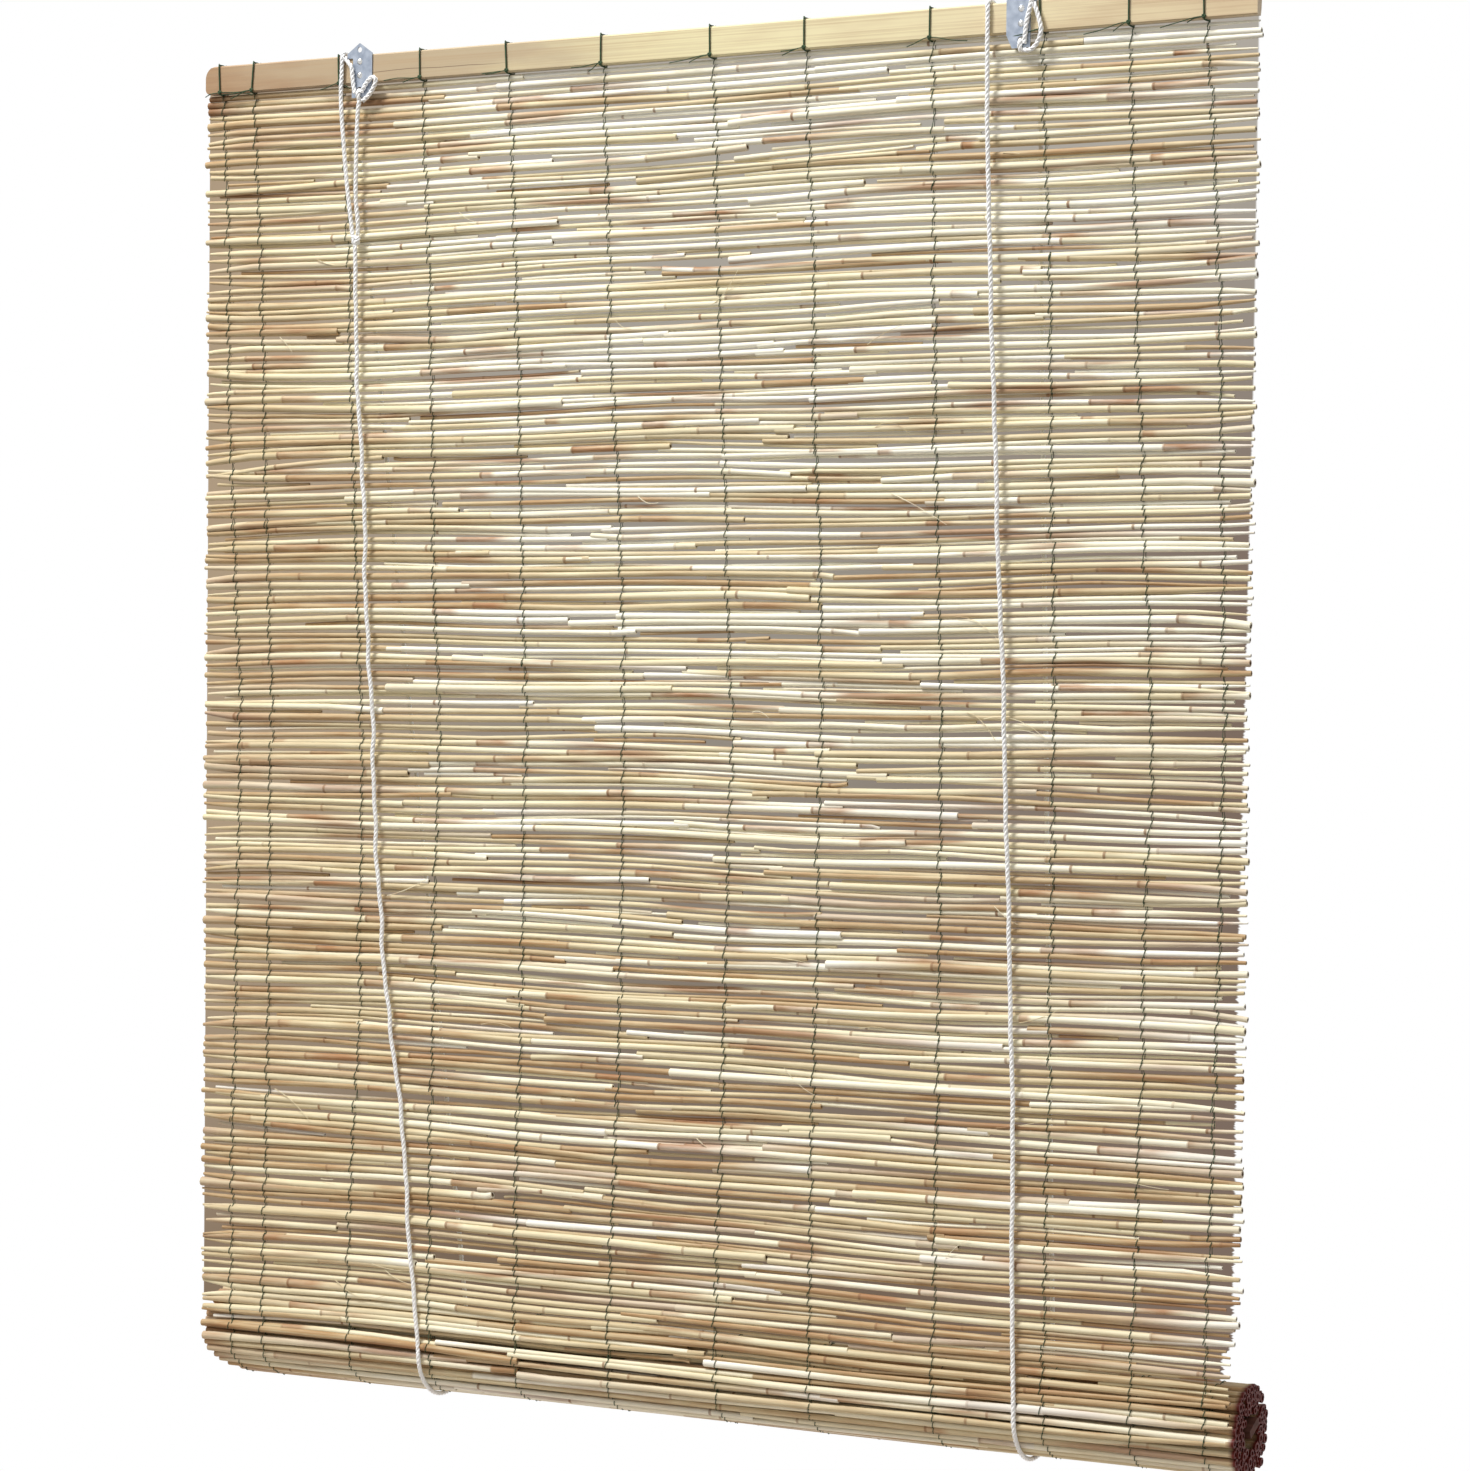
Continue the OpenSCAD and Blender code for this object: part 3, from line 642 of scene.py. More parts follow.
fills = []
leftLook, rightLook = thinSpec["lookEnds"]
lookX = np.linspace(matLow.x + leftLook, matHigh.x - rightLook, thinSpec["looks"])
for i in range(2, reedSpec["rows"] - 2):
    above = [reedAt(matRows[i], x) for x in lookX]
    below = [reedAt(matRows[i + 1], x) for x in lookX]
    roof = np.array([centre[1] - girth for girth, centre in above])
    ground = np.array([centre[1] + girth for girth, centre in below])
    middle = (roof + ground) / 2
    wide = np.flatnonzero(roof - ground > thinSpec["wide"])
    for run in np.split(wide, np.flatnonzero(np.diff(wide) > 1) + 1):
        if len(run) < thinSpec["run"]:
            continue
        width = (roof - ground)[run].mean()
        if rng.random() < thinSpec["filled"] or width > thinSpec["always"]:
            girth = min(thinSpec["share"] * width, thinSpec["most"])
            start, end = lookX[run[[0, -1]]] + rng.uniform(-thinSpec["fillEnd"], thinSpec["fillEnd"], 2)
            fills.append((i, growThin(rng, i, start, end, girth, thinSpec["fillTilt"],
                                      lambda x: np.interp(x, lookX, middle))))
for i in rng.integers(4, reedSpec["rows"] - 4, thinSpec["stray"]):
    start = rng.uniform(matLow.x + 0.01, matHigh.x - 0.02 - thinSpec["length"][1])
    level = reedSpec["firstRow"] - (i + 0.5) * reedSpec["pitch"]
    fills.append((i, growThin(rng, i, start, start + rng.uniform(*thinSpec["length"]),
                              reedSpec["girth"] * rng.uniform(*thinSpec["girths"]), thinSpec["tilt"],
                              lambda x: level)))
for i, thin in fills:
    matRows[i].append(thin)
print("thin reeds:", len(fills))

# Loose straws on the mat's front
strawSpec = {"count": 26, "points": 6, "tilt": 0.4, "bow": 0.1, "out": 2.5, "tone": (0.2, 0.5),
             "length": (14 * mm, 58 * mm), "girth": (0.28 * mm, 0.5 * mm), "front": 3.3 * mm,
             "known": [(0.275, -0.575), (0.29, -0.58), (0.305, -0.59), (-0.3, -1.07), (-0.285, -1.075)]}


def growStraw(rng, x, z):
    length = rng.uniform(*strawSpec["length"])
    tilt = rng.normal(0, strawSpec["tilt"])
    share = np.linspace(0, 1, strawSpec["points"])
    bow = rng.normal(0, strawSpec["bow"]) * length * 4 * share * (1 - share)
    front = matY - strawSpec["front"] - rng.uniform(0, strawSpec["out"]) * mm * share
    flat = np.zeros(strawSpec["points"])
    return {
        "points": np.stack([x + length * share * math.cos(tilt), front,
                            z + length * share * math.sin(tilt) + bow], 1),
        "girth": rng.uniform(*strawSpec["girth"]) * (1 - 0.5 * share),
        "tone": flat + rng.uniform(*strawSpec["tone"]),
        "butt": flat, "sheath": flat, "joint": flat, "rolledEndShade": flat,
    }


straws = strawSpec["known"] + [(rng.uniform(-0.44, 0.44), rng.uniform(matLow.z + 0.05, matHigh.z - 0.05))
                               for i in range(strawSpec["count"])]
for x, z in straws:
    row = int((reedSpec["firstRow"] - z) / reedSpec["pitch"])
    matRows[row].append(growStraw(rng, x, z))
upperStems = stemMesh("upperStems", sum(matRows[:held], []))
lowerStems = stemMesh("lowerStems", sum(matRows[held:], []))
upperMat = growPiece("reed_mat_upper", upperStems, stemTree, stemSettings)
lowerMat = growPiece("reed_mat_lower", lowerStems, stemTree, stemSettings)
for piece in (upperMat, lowerMat):
    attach(piece, "head")
    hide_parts("reed_mat")
print("mat reeds:", sum(len(r) for r in matRows),
      "faces", len(upperMat.data.polygons), len(lowerMat.data.polygons))

# Reeds of the roll, on its spiral
# Partly painted shade in the roll's colours: a darker tone for the whole roll, darker still for the reeds
# that lie under the mat, and a brown tint that is strongest near the shaded left end
rollSpec = {"radius": 37.5 * mm, "turnPitch": 5.8 * mm, "first": 3.1 * mm, "reeds": 98, "shown": 42,
            "ragged": 0.5 * mm, "short": 3 * mm, "girths": (0.98, 1.2), "outer": 27, "depth": 0.6,
            "innerShadeDepth": 1.1, "endFrom": 2 * mm, "endFade": 3 * mm, "swell": 0.2, "buttEnd": 0.08,
            "corner": 26 * mm, "cornerFrom": 0.1, "cornerOver": 0.9,
            "rollShadeTint": 0.13, "leftShadeMost": 0.8, "leftShadeReach": 45 * mm, "seed": 7}


def onSpiral(along):
    loss = rollSpec["turnPitch"] / (2 * math.pi)
    angle = (rollSpec["radius"] - math.sqrt(rollSpec["radius"]**2 - 2 * loss * along)) / loss
    return angle, rollSpec["radius"] - loss * angle


def rollPlacer(radius, outY, outZ):
    def placeRow(x, drift, depth):
        far = radius - depth
        return np.stack([x, axisY + far * outY + drift * outZ, axisZ + far * outZ - drift * outY], 1)
    return placeRow


rng = np.random.default_rng(rollSpec["seed"])
rollRows = []
for i in range(rollSpec["reeds"]):
    angle, radius = onSpiral(rollSpec["first"] + i * reedSpec["pitch"])
    outY, outZ = -math.cos(angle), -math.sin(angle)
    facingDown = max(0, (-outZ - rollSpec["cornerFrom"]) / rollSpec["cornerOver"])
    corner = rollSpec["corner"] * min(1, facingDown) ** 2
    # painted shade: reeds past the outer turn lie under the mat and get a darker tone
    depth = rollSpec["depth"] if i < rollSpec["outer"] else rollSpec["innerShadeDepth"]
    rollRows.append(growRow(rng, depth, rollPlacer(radius, outY, outZ), matLow.x + corner,
                            matHigh.x - rollSpec["short"], rollSpec["ragged"], (1.0,), rollSpec["girths"]))
for stem in sum(rollRows, []):
    # Painted shade: the last few millimetres at the roll's right end take the near-black maroon; those ends
    # also swell a little
    toEnd = matHigh.x - rollSpec["short"] - stem["points"][:, 0]
    stem["rolledEndShade"] = np.clip(1 - (toEnd - rollSpec["endFrom"]) / rollSpec["endFade"], 0, 1)
    stem["girth"] *= 1 + rollSpec["swell"] * stem["rolledEndShade"]
    stem["butt"] *= np.clip(toEnd / rollSpec["buttEnd"], 0, 1)
    # Painted shade: every roll reed gets a brown tint, strongest within 45 mm of the left end, where the
    # roll's corner lies in shadow
    fromLeft = stem["points"][:, 0] - matLow.x
    leftShadeShare = np.clip(1 - fromLeft / rollSpec["leftShadeReach"], 0, 1)
    rollShadeTint = np.maximum(rollSpec["rollShadeTint"], rollSpec["leftShadeMost"] * leftShadeShare)
    stem["sheath"] = np.maximum(stem["sheath"], rollShadeTint)
reedRoll = growPiece("reed_roll_reeds", stemMesh("rollStems", sum(rollRows, [])), stemTree, stemSettings)
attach(reedRoll, "roll")
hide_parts("reed_roll")
print("roll reeds:", sum(len(r) for r in rollRows), "faces", len(reedRoll.data.polygons))

# Twined stitches: two threads that change sides between reeds
stitchSpec = {"girth": 0.35 * mm, "zigzag": 1.05 * mm, "wrap": 0.95, "slant": 0.8 * mm, "sides": 5,
              "drift": [0, 22 * mm, 15 * mm], "jitter": 0.35, "laneStep": 0.35, "seed": 19,
              "arch": ((-1, 0.6), (-0.6, 0.9), (0, 1.02), (0.6, 0.9), (1, 0.6))}      # along, proud


def twine(rng, rows, outs, lanes):
    spots = [reedAt(stems, x) for stems, x in zip(rows, lanes)]
    lines = []
    for side in (1, -1):
        points = []
        for i, ((girth, centre), out) in enumerate(zip(spots, outs)):
            way = side if i % 2 else -side
            down = np.array([out[1], -out[0]])
            shift = rng.normal(0, stitchSpec["jitter"]) * mm + stitchSpec["zigzag"] * (-1) ** (i // 2)
            far = girth + stitchSpec["girth"]
            for step, proud in stitchSpec["arch"]:
                spot = centre + out * way * proud * far + down * step * stitchSpec["wrap"] * far
                points.append([lanes[i] + shift + way * step * stitchSpec["slant"], *spot])
        lines.append(np.array(points))
    return lines


rng = np.random.default_rng(stitchSpec["seed"])
rowZ = reedSpec["firstRow"] - np.arange(reedSpec["rows"]) * reedSpec["pitch"]
driftX = np.interp(-rowZ, [-matHigh.z, -(matHigh.z + matLow.z) / 2, -matLow.z], stitchSpec["drift"])
matOuts = np.tile([-1.0, 0.0], (reedSpec["rows"], 1))
shownRows = rollRows[:rollSpec["shown"]]
rollAngles = [onSpiral(rollSpec["first"] + i * reedSpec["pitch"])[0] for i in range(rollSpec["shown"])]
rollOuts = np.array([[-math.cos(a), -math.sin(a)] for a in rollAngles])
upperLines, lowerLines, rollLines = [], [], []
for x in warpX:
    wave = np.cumsum(rng.normal(0, stitchSpec["laneStep"], reedSpec["rows"])) * mm
    wave -= np.linspace(wave[0], wave[-1], reedSpec["rows"])
    lanes = x + driftX + wave
    upperLines += twine(rng, matRows[:held], matOuts[:held], lanes[:held])
    lowerLines += twine(rng, matRows[held:], matOuts[held:], lanes[held:])
    rollLines += twine(rng, shownRows, rollOuts, np.full(rollSpec["shown"], x + stitchSpec["drift"][2]))


def strandPiece(name, lines, girth, stuff, sides):
    girths = [np.full(len(line), girth) if np.isscalar(girth) else girth[i] for i, line in enumerate(lines)]
    return growPiece(name, lineMesh(name + "Lines", lines, {"girth": girths}), strandTree,
                     {"Sides": sides, "Material": stuff})


stitches = [strandPiece(name, lines, stitchSpec["girth"], threadStuff, stitchSpec["sides"])
            for name, lines in (("stitches_upper", upperLines), ("stitches_lower", lowerLines),
                                ("stitches_roll", rollLines))]
for piece, body in zip(stitches, ("head", "head", "roll")):
    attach(piece, body)
warpNodes = [f"warp_thread_{k}" for k in range(1, 13)]
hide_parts(*warpNodes)
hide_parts(*warpNodes)
for piece in (lowerMat, stitches[1]):
    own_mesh(piece)

# Lashings: each thread tied round the rail, with a knot and two loose tails
lashSpec = {"girth": 0.72 * mm, "tailGirth": 0.42 * mm, "gap": 0.75 * mm, "edge": 1.4 * mm,
            "lean": 1.2, "knot": 1.5 * mm, "knotPoints": 28, "knotOut": 0.4 * mm, "knotUp": 2.2 * mm,
            "tail": (18 * mm, 40 * mm), "tails": (1, 0.6), "sag": (-1, 6), "leftward": 0.8,
            "step": 6 * mm, "tailStep": 5 * mm, "sides": 6, "seed": 5}
rng = np.random.default_rng(lashSpec["seed"])
lashLines = []
for x in warpX:
    g = lashSpec["gap"]
    lean = rng.normal(0, lashSpec["lean"]) * mm
    front, back = railLow.y - g, railHigh.y + g
    top, bottom = railHigh.z + g, railLow.z - g
    edge = lashSpec["edge"]
    band = [[x, front, bottom + edge], [x + lean, front, top - edge], [x + lean, front + edge, top],
            [x + lean, back - edge, top], [x + lean, back, top - edge], [x - lean, back, bottom + edge],
            [x - lean, back - edge, bottom], [x, front + edge, bottom], [x, front, bottom + edge]]
    lashLines.append(smoothPath(band, lashSpec["step"]))
    knotAt = np.array([x, front - lashSpec["knotOut"], bottom + lashSpec["knotUp"]])
    lashLines.append(knotAt + trefoil(lashSpec["knotPoints"]) * lashSpec["knot"] / 3)
    for share in lashSpec["tails"]:
        reach = rng.uniform(*lashSpec["tail"]) * share
        sag = rng.uniform(*lashSpec["sag"]) * mm
        way = -1 if rng.random() < lashSpec["leftward"] and x - reach > railLow.x else 1
        tail = [knotAt, knotAt + [way * reach * 0.2, -0.8 * mm, -0.6 * mm],
                knotAt + [way * reach * 0.6, -0.4 * mm, -sag * 0.5 - rng.uniform(0, 2) * mm],
                knotAt + [way * reach, 0.6 * mm, -sag - 1.5 * mm]]
        lashLines.append(smoothPath(tail, lashSpec["tailStep"]))
lashGirths = [np.full(len(line), lashSpec["girth"] if i % 4 < 2 else lashSpec["tailGirth"])
              for i, line in enumerate(lashLines)]
lashings = strandPiece("rail_lashings", lashLines, lashGirths, threadStuff, lashSpec["sides"])
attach(lashings, "head")
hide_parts(*[f"rail_lashing_{k}" for k in range(1, 13)])
print("lashings:", len(lashings.data.polygons))

# Cords, along the CAD's routes in millimetres
cordSpec = {"diameter": 3.4 * mm, "strands": 3, "layRadius": 1.06 * mm, "strandRadius": 1.06 * mm,
            "layLength": 13 * mm, "step": 1.7 * mm, "sides": 6, "slingRadius": 42.2 * mm, "slingRise": 22,
            "slingX": (-248 * mm, 325 * mm), "knotLoop": {"left": 3.3 * mm, "right": 2.7 * mm},
            "kinks": {"left_cord_front": 1.1 * mm, "right_cord_front": 0.4 * mm},
            "waves": (0.19, 0.083, 0.041), "hitchPoints": 40, "knotPoints": 60, "seed": 3}
cordRoutes = {
    "left_cord_upper": [(-331, 11.7, -38), (-333, 11.6, -14), (-334.5, 11.5, -7), (-334.5, 10.6, -3.4),
                        (-334.5, 8.2, -2.1), (-334.5, 3, -2), (-334.5, 0.6, -2.1), (-334.5, -1.4, -3.2),
                        (-334.6, -2.2, -5.8), (-335, -2.2, -20), (-335.5, -2.2, -46), (-330, -2, -107),
                        (-325, -1.8, -146), (-323, -1.6, -161.5)],
    "left_cord_lead": [(-331.4, -3.0, -6.4), (-327, -3.2, -11.5), (-324.2, -3.2, -15), (-323.4, -3.2, -20),
                       (-322.6, -3.2, -28), (-320.6, -3.2, -38)],
    "left_cord_bight": [(-313.6, -3.4, -37.6), (-309, -3.6, -31), (-305, -3.8, -27), (-302, -3.7, -25.2),
                        (-299.4, -3.5, -26), (-298.6, -3.2, -28.8), (-301.4, -2.9, -34.6),
                        (-306.6, -2.8, -41), (-312.6, -2.8, -45.4)],
    "left_cord_tie": [(-316, -3, -45), (-318, -2.8, -65), (-319.5, -2.2, -125), (-317.6, -1.6, -148),
                      (-317.6, -1.4, -161.5)],
    "left_cord_front": [(-320.5, -1.5, -171), (-318, -1.4, -260), (-311, -1, -380), (-304, -0.6, -520),
                        (-296, -0.1, -660), (-288, 0.4, -790), (-276, 0.7, -870), (-266, 1, -950),
                        (-258, 1.4, -1040), (-248, 2.1, -1145)],
    "left_cord_back": [(-330.8, 11.8, -38), (-302, 35, -420), (-272, 60, -800), (-248, 83.2, -1129)],
    "right_cord_upper": [(288, -2.2, -40.6), (288, -2.2, -20), (288, -2.2, -5.8), (288, -1.4, -3.2),
                         (288, 0.6, -2.1), (288, 3, -2), (288, 8.2, -2.1), (288, 10.6, -3.4), (288, 11.6, -7),
                         (288, 12.4, -23)],
    "right_cord_loop": [(320.8, -3.2, -38.6), (321.6, -3.2, -30), (322.6, -3.2, -22), (324.2, -3.2, -15),
                        (326, -3.2, -8), (327.4, -3.2, -3), (328.5, -2.9, 0), (329.2, -1.6, 1.8),
                        (329.5, 0.6, 2.2), (329.5, 4, 1), (329, 8, -1.4), (328.5, 10.6, -3.6),
                        (328, 11.6, -8), (328, 11.7, -38)],
    "right_cord_bight": [(320.2, -3.2, -44), (326, -3.2, -44.2), (331.5, -3.4, -40), (335, -3.8, -33),
                         (335.6, -4, -27), (333.5, -4, -19), (331.4, -4, -13), (329, -4, -7)],
    "right_cord_front": [(288, -2.2, -40), (290, -2.1, -140), (294, -1.9, -237), (298, -1.6, -332),
                         (303, -1.2, -444), (308, -0.8, -541), (312, -0.4, -637), (318, 0.3, -800),
                         (321, 0.7, -881), (323, 1.3, -1045), (325, 2.1, -1145)],
    "right_cord_back": [(328, 11.8, -38), (327, 35, -420), (326, 60, -800), (325, 83.2, -1129)],
}
ropeSettings = {"Strands": cordSpec["strands"], "Lay radius": cordSpec["layRadius"],
                "Strand radius": cordSpec["strandRadius"], "Lay length": cordSpec["layLength"],
                "Sides": cordSpec["sides"], "Material": cordStuff}
cordPaths = {name: smoothPath(np.array(route) * mm, cordSpec["step"]) for name, route in cordRoutes.items()}
rng = np.random.default_rng(cordSpec["seed"])
for name, size in cordSpec["kinks"].items():
    share = np.linspace(0, 1, len(cordPaths[name]))
    for wave in cordSpec["waves"]:
        turns = pathLength(cordPaths[name]) / wave * share + rng.random()
        swing = size * np.sqrt(wave / cordSpec["waves"][0]) * np.sin(2 * math.pi * turns)
        cordPaths[name][:, 0] += swing * np.sin(math.pi * share) ** 0.5
for side, x in zip(("left", "right"), cordSpec["slingX"]):
    turn = np.radians(np.arange(180, 360 + cordSpec["slingRise"] + 1, 2.0))
    cordPaths[side + "_cord_sling"] = np.stack(
        [np.full(len(turn), x), axisY + cordSpec["slingRadius"] * np.cos(turn),
         axisZ + cordSpec["slingRadius"] * np.sin(turn)], 1)
    low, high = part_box(side + "_cord_hitch")
    middle, size = (low + high) / 2, (high - low) / 2
    turn = np.linspace(0, 2 * math.pi, cordSpec["hitchPoints"])
    inset = cordSpec["diameter"] / 2
    cordPaths[side + "_cord_hitch"] = np.stack(
        [np.full(len(turn), middle.x), middle.y + (size.y - inset) * np.cos(turn),
         middle.z + (size.z - inset) * np.sin(turn)], 1)
    low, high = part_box(side + "_cord_knot")
    loop = trefoil(cordSpec["knotPoints"])
    cordPaths[side + "_cord_knot"] = np.array((low + high) / 2) + loop * cordSpec["knotLoop"][side] / 3
cords = {}
for name, path in cordPaths.items():
    piece = growPiece(name + "_rope", lineMesh(name + "Line", [path], {}), ropeTree, ropeSettings)
    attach(piece, "slings" if name.endswith("sling") else "head")
    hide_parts(name)
    cords[name] = piece
for name, piece in cords.items():
    if name.endswith(("front", "back")):
        path = cordPaths[name]
        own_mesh(piece)
    if not name.endswith(("hitch", "knot", "lead")):
        path = cordPaths[name]
print("cords:", {n: len(p.data.polygons) for n, p in cords.items()})

# Bamboo head rail and batten, hangers and screws
railSpec = {"corner": 11 * mm, "lowCorner": 5 * mm, "reach": 0.05}


def roundedRail():
    turn = np.linspace(0, math.pi / 2, 9)
    high, low = railSpec["corner"], railSpec["lowCorner"]
    top = [(railLow.x + high - high * math.sin(t), railHigh.z - high + high * math.cos(t)) for t in turn]
    foot = [(railLow.x + low - low * math.cos(t), railLow.z + low - low * math.sin(t)) for t in turn]
    outline = [(railHigh.x + 0.01, railHigh.z), *top, *foot, (railHigh.x + 0.01, railLow.z)]
    keep = bmesh.new()
    face = keep.faces.new([keep.verts.new((x, -railSpec["reach"], z)) for x, z in outline])
    grown = bmesh.ops.extrude_face_region(keep, geom=[face])["geom"]
    bmesh.ops.translate(keep, vec=(0, 2 * railSpec["reach"], 0),
                        verts=[v for v in grown if isinstance(v, bmesh.types.BMVert)])
    bmesh.ops.recalc_face_normals(keep, faces=keep.faces)
    keepMesh = bpy.data.meshes.new("railOutline")
    keep.to_mesh(keepMesh)
    keep.free()
    mould = bpy.data.objects.new("railOutline", keepMesh)
    rail = bpy.data.objects.new("bamboo_rail", frame["nodes"]["head_rail"].data.copy())
    for made in (mould, rail):
        scene.collection.objects.link(made)
    cut = rail.modifiers.new("round", "BOOLEAN")
    cut.operation = "INTERSECT"
    cut.object = mould
    bpy.context.view_layer.update()
    rail.data = bpy.data.meshes.new_from_object(rail.evaluated_get(bpy.context.evaluated_depsgraph_get()))
    rail.modifiers.clear()
    bpy.data.objects.remove(mould)
    return rail


bambooRail = roundedRail()
bambooRail.data.materials.clear()
bambooRail.data.materials.append(bambooStuff)
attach(bambooRail, "head")
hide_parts("head_rail")
for name, stuff in (("bottom_batten", battenStuff), ("left_hanger", zincStuff), ("right_hanger", zincStuff),
                    ("left_hanger_screws", screwStuff), ("right_hanger_screws", screwStuff)):
    data = frame["nodes"][name].data
    data.materials.clear()
    data.materials.append(stuff)

# Floor, backdrop, light and camera
# The panel's top, mid, bottom, left and right colours are painted shade: a wall in the mat's shadow as seen
# through the gaps, lighter at the top, darker towards the bottom and at the lower right, warmer at the upper
# left
stageSpec = {"floorZ": -1.75, "floorHalf": 1.2, "wallY": 0.094,
             "panel": [(-0.546, -1.13), (0.484, -1.13), (0.484, -0.012), (-0.546, -0.012)],
             "fray": 11 * mm, "frayZ": (-0.3, -0.8), "frayGrain": (25, 1, 450), "rim": 1.5 * mm,
             "notchZ": -1.095, "notchRise": 5 * mm, "notch": 8 * mm, "top": (0.43, 0.395, 0.345),
             "mid": (0.322, 0.29, 0.248), "bottom": (0.168, 0.115, 0.078), "left": (0.43, 0.325, 0.22),
             "right": (0.205, 0.15, 0.118), "midZ": (-1.1, -0.5), "topZ": (-0.45, -0.1),
             "leftX": (-0.2, -0.54), "leftZ": (-1.15, -0.7, 0.25, 1.0), "rightX": (0.1, 0.45),
             "rightZ": (-0.1, -0.5), "skyZ": (-0.35, 0.5), "skyGlow": (0.16, 0.72)}


def planeMesh(name, corners, stuff):
    mesh = bpy.data.meshes.new(name)
    mesh.from_pydata(corners, [], [tuple(range(len(corners)))])
    mesh.materials.append(stuff)
    made = bpy.data.objects.new(name, mesh)
    scene.collection.objects.link(made)
    return made


floorStuff = newMaterial("paleFloor", Base_Color=(0.62, 0.56, 0.5, 1), Roughness=0.9)[0]
z, half = stageSpec["floorZ"], stageSpec["floorHalf"]
planeMesh("floor", [(-half, -half, z), (half, -half, z), (half, half, z), (-half, half, z)], floorStuff)


def seenOf(tree):
    rays = addNode(tree, "ShaderNodeLightPath").outputs
    share = rays["Is Camera Ray"]
    for label in ("Is Glossy Ray", "Is Transmission Ray"):
        share = addNode(tree, "ShaderNodeMath", {0: share, 1: rays[label]}, operation="MAXIMUM").outputs[0]
    return share


def wallMaterial():
    made, tree = newMaterial("wall")[:2]
    spot = spotOf(tree)
    leftHigh = timesOf(tree, rangeOf(tree, spot["X"], *stageSpec["leftX"]),
                       rangeOf(tree, spot["Z"], *stageSpec["leftZ"]))
    shade = mixOf(tree, rangeOf(tree, spot["Z"], *stageSpec["midZ"]), stageSpec["bottom"], stageSpec["mid"])
    shade = mixOf(tree, rangeOf(tree, spot["Z"], *stageSpec["topZ"]), shade, stageSpec["top"])
    shade = mixOf(tree, leftHigh, shade, stageSpec["left"])
    rightLow = timesOf(tree, rangeOf(tree, spot["X"], *stageSpec["rightX"]),
                       rangeOf(tree, spot["Z"], *stageSpec["rightZ"]))
    shade = mixOf(tree, rightLow, shade, stageSpec["right"])
    low = rangeOf(tree, spot["Z"], *stageSpec["frayZ"], 0.0, stageSpec["fray"])
    notch = rangeOf(tree, spot["Z"], stageSpec["notchZ"] + stageSpec["notchRise"], stageSpec["notchZ"],
                    0.0, stageSpec["notch"])
    edge = timesOf(tree, grainOf(tree, stageSpec["frayGrain"]), low)
    edge = addNode(tree, "ShaderNodeMath", {0: edge, 1: notch}, operation="ADD").outputs[0]
    past = addNode(tree, "ShaderNodeMath", {0: spot["X"], 1: edge}, operation="ADD").outputs[0]
    rim = stageSpec["panel"][1][0]
    shade = mixOf(tree, rangeOf(tree, past, rim - stageSpec["rim"], rim), shade, (1.0, 1.0, 1.0))
    # The panel glows with this painted shade for camera, glossy and transmission rays; it is clear to all
    # other rays and from behind, and takes no light of its own
    flat = addNode(tree, "ShaderNodeEmission", {"Color": shade, "Strength": 1.0})
    clear = addNode(tree, "ShaderNodeBsdfTransparent")
    front = addNode(tree, "ShaderNodeMixShader", {0: seenOf(tree), 1: clear.outputs[0], 2: flat.outputs[0]})
    back = addNode(tree, "ShaderNodeNewGeometry").outputs["Backfacing"]
    oneSided = addNode(tree, "ShaderNodeMixShader", {0: back, 1: front.outputs[0], 2: clear.outputs[0]})
    tree.links.new(oneSided.outputs[0], tree.nodes["Material Output"].inputs["Surface"])
    return made


y = stageSpec["wallY"]
planeMesh("wall", [(x, y, z) for x, z in stageSpec["panel"]], wallMaterial())

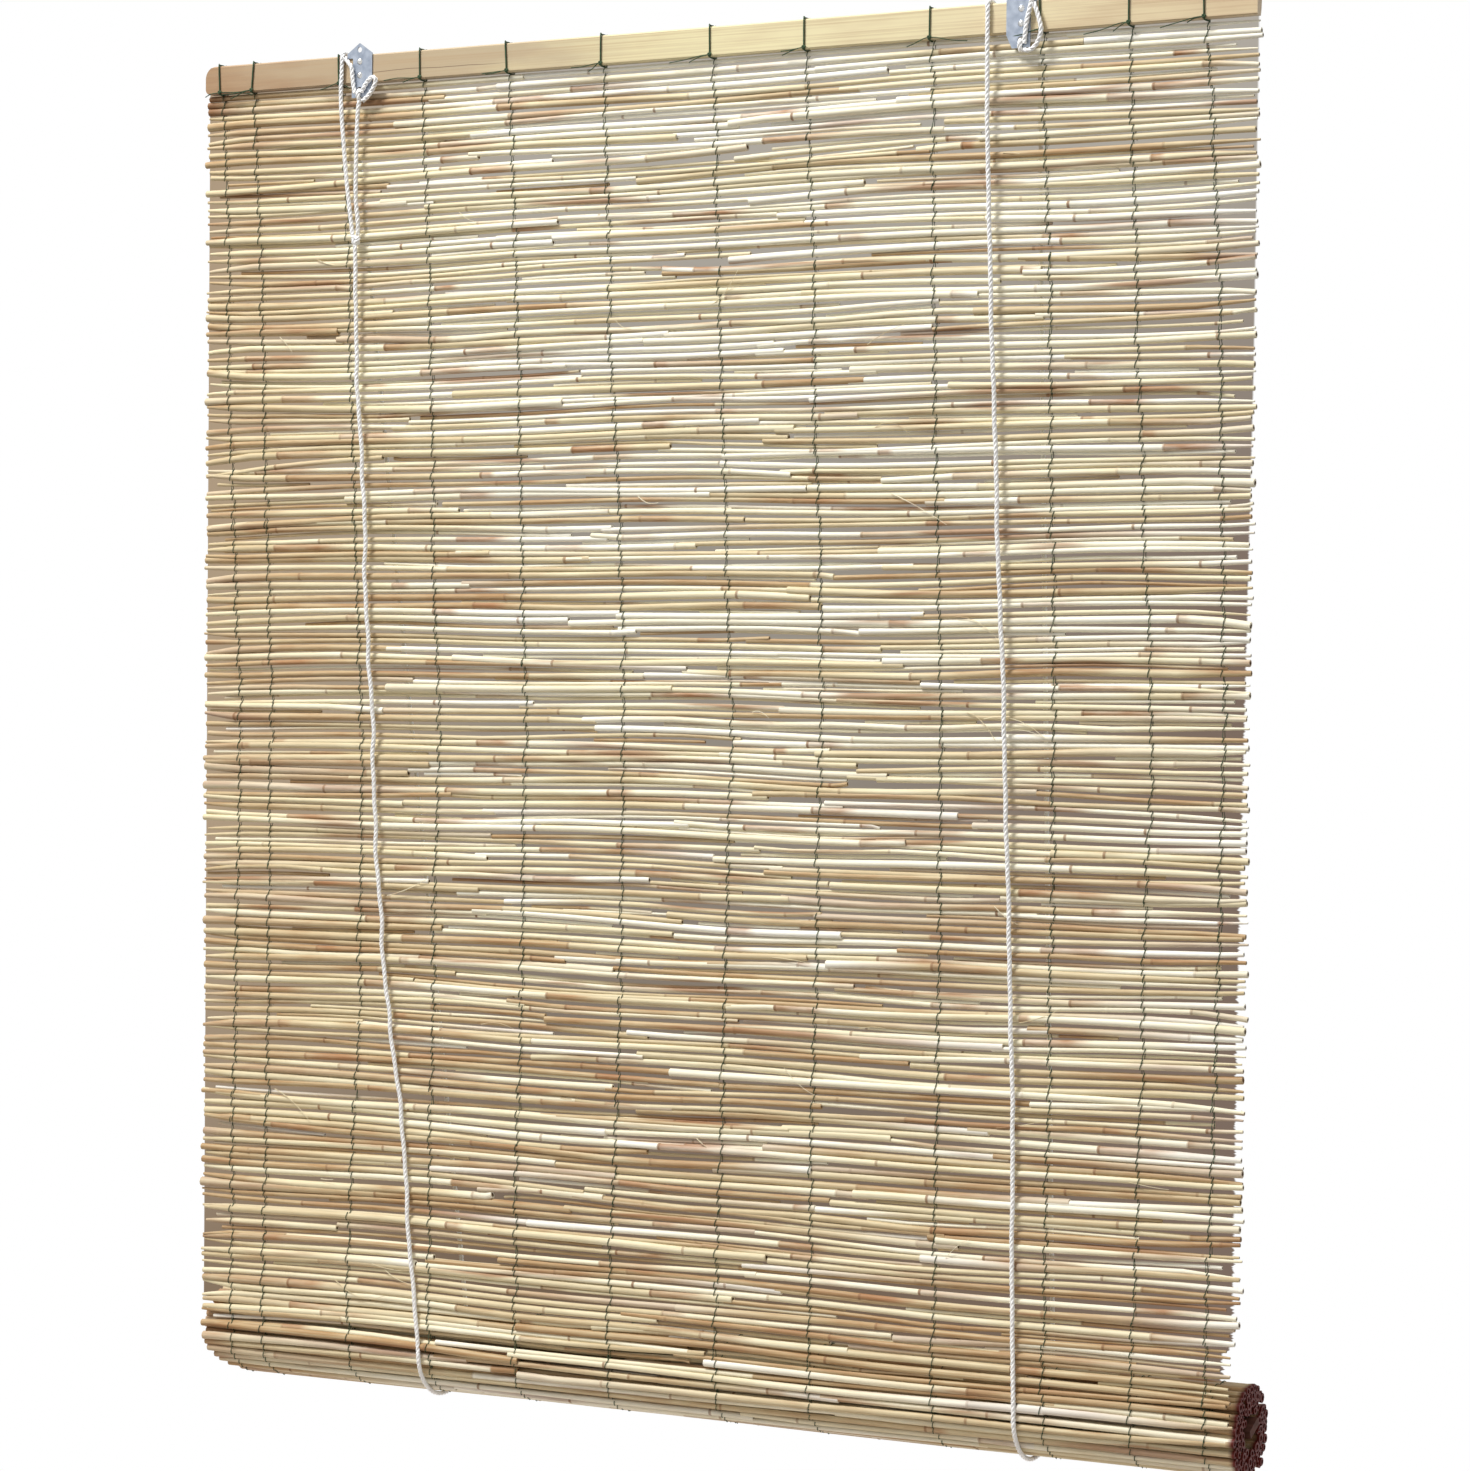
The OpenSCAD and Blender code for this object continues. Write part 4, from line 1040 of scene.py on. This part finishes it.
world = bpy.data.worlds.new("studio")
scene.world = world
world.use_nodes = True
sky = world.node_tree
glow = sky.nodes["Background"]
glow.inputs["Color"].default_value = (1, 1, 1, 1)
upward = addNode(sky, "ShaderNodeSeparateXYZ", {0: addNode(sky, "ShaderNodeTexCoord").outputs["Generated"]})
skyLight = rangeOf(sky, upward.outputs["Z"], *stageSpec["skyZ"], *stageSpec["skyGlow"])
sky.links.new(skyLight, glow.inputs["Strength"])
seen = addNode(sky, "ShaderNodeBackground", {"Color": (1, 1, 1, 1), "Strength": 1.0})
both = addNode(sky, "ShaderNodeMixShader", {0: seenOf(sky), 1: glow.outputs[0], 2: seen.outputs[0]})
sky.links.new(both.outputs[0], sky.nodes["World Output"].inputs["Surface"])


def addLamp(name, place, aim, size, power):
    lamp = bpy.data.lights.new(name, "AREA")
    lamp.size = size
    lamp.energy = power
    made = bpy.data.objects.new(name, lamp)
    scene.collection.objects.link(made)
    made.location = place
    made.rotation_euler = (Vector(aim) - Vector(place)).to_track_quat("-Z", "Y").to_euler()
    return made


keySpec = {"place": (-1.6, -2.3, 3.6), "aim": (0, 0, -0.55), "size": 1.2, "power": 295}
addLamp("key", **keySpec)

cameraSpec = {"focal": 3856, "centre": (744, 841.5), "photo": (1470, 1471), "yaw": 27.949, "pitch": 2.195,
              "roll": 0.617, "place": (1.5863, -2.8524, -0.5615)}
lens = bpy.data.cameras.new("camera")
longSide = max(cameraSpec["photo"])
lens.sensor_width = 36
lens.lens = cameraSpec["focal"] / longSide * lens.sensor_width
lens.shift_x = (cameraSpec["photo"][0] / 2 - cameraSpec["centre"][0]) / longSide
lens.shift_y = (cameraSpec["centre"][1] - cameraSpec["photo"][1] / 2) / longSide
camera = bpy.data.objects.new("camera", lens)
scene.collection.objects.link(camera)
turn = (Matrix.Rotation(math.radians(cameraSpec["yaw"]), 4, "Z")
        @ Matrix.Rotation(math.radians(90 - cameraSpec["pitch"]), 4, "X")
        @ Matrix.Rotation(math.radians(cameraSpec["roll"]), 4, "Z"))
camera.matrix_world = Matrix.Translation(cameraSpec["place"]) @ turn
scene.camera = camera
scene.view_settings.view_transform = "Standard"
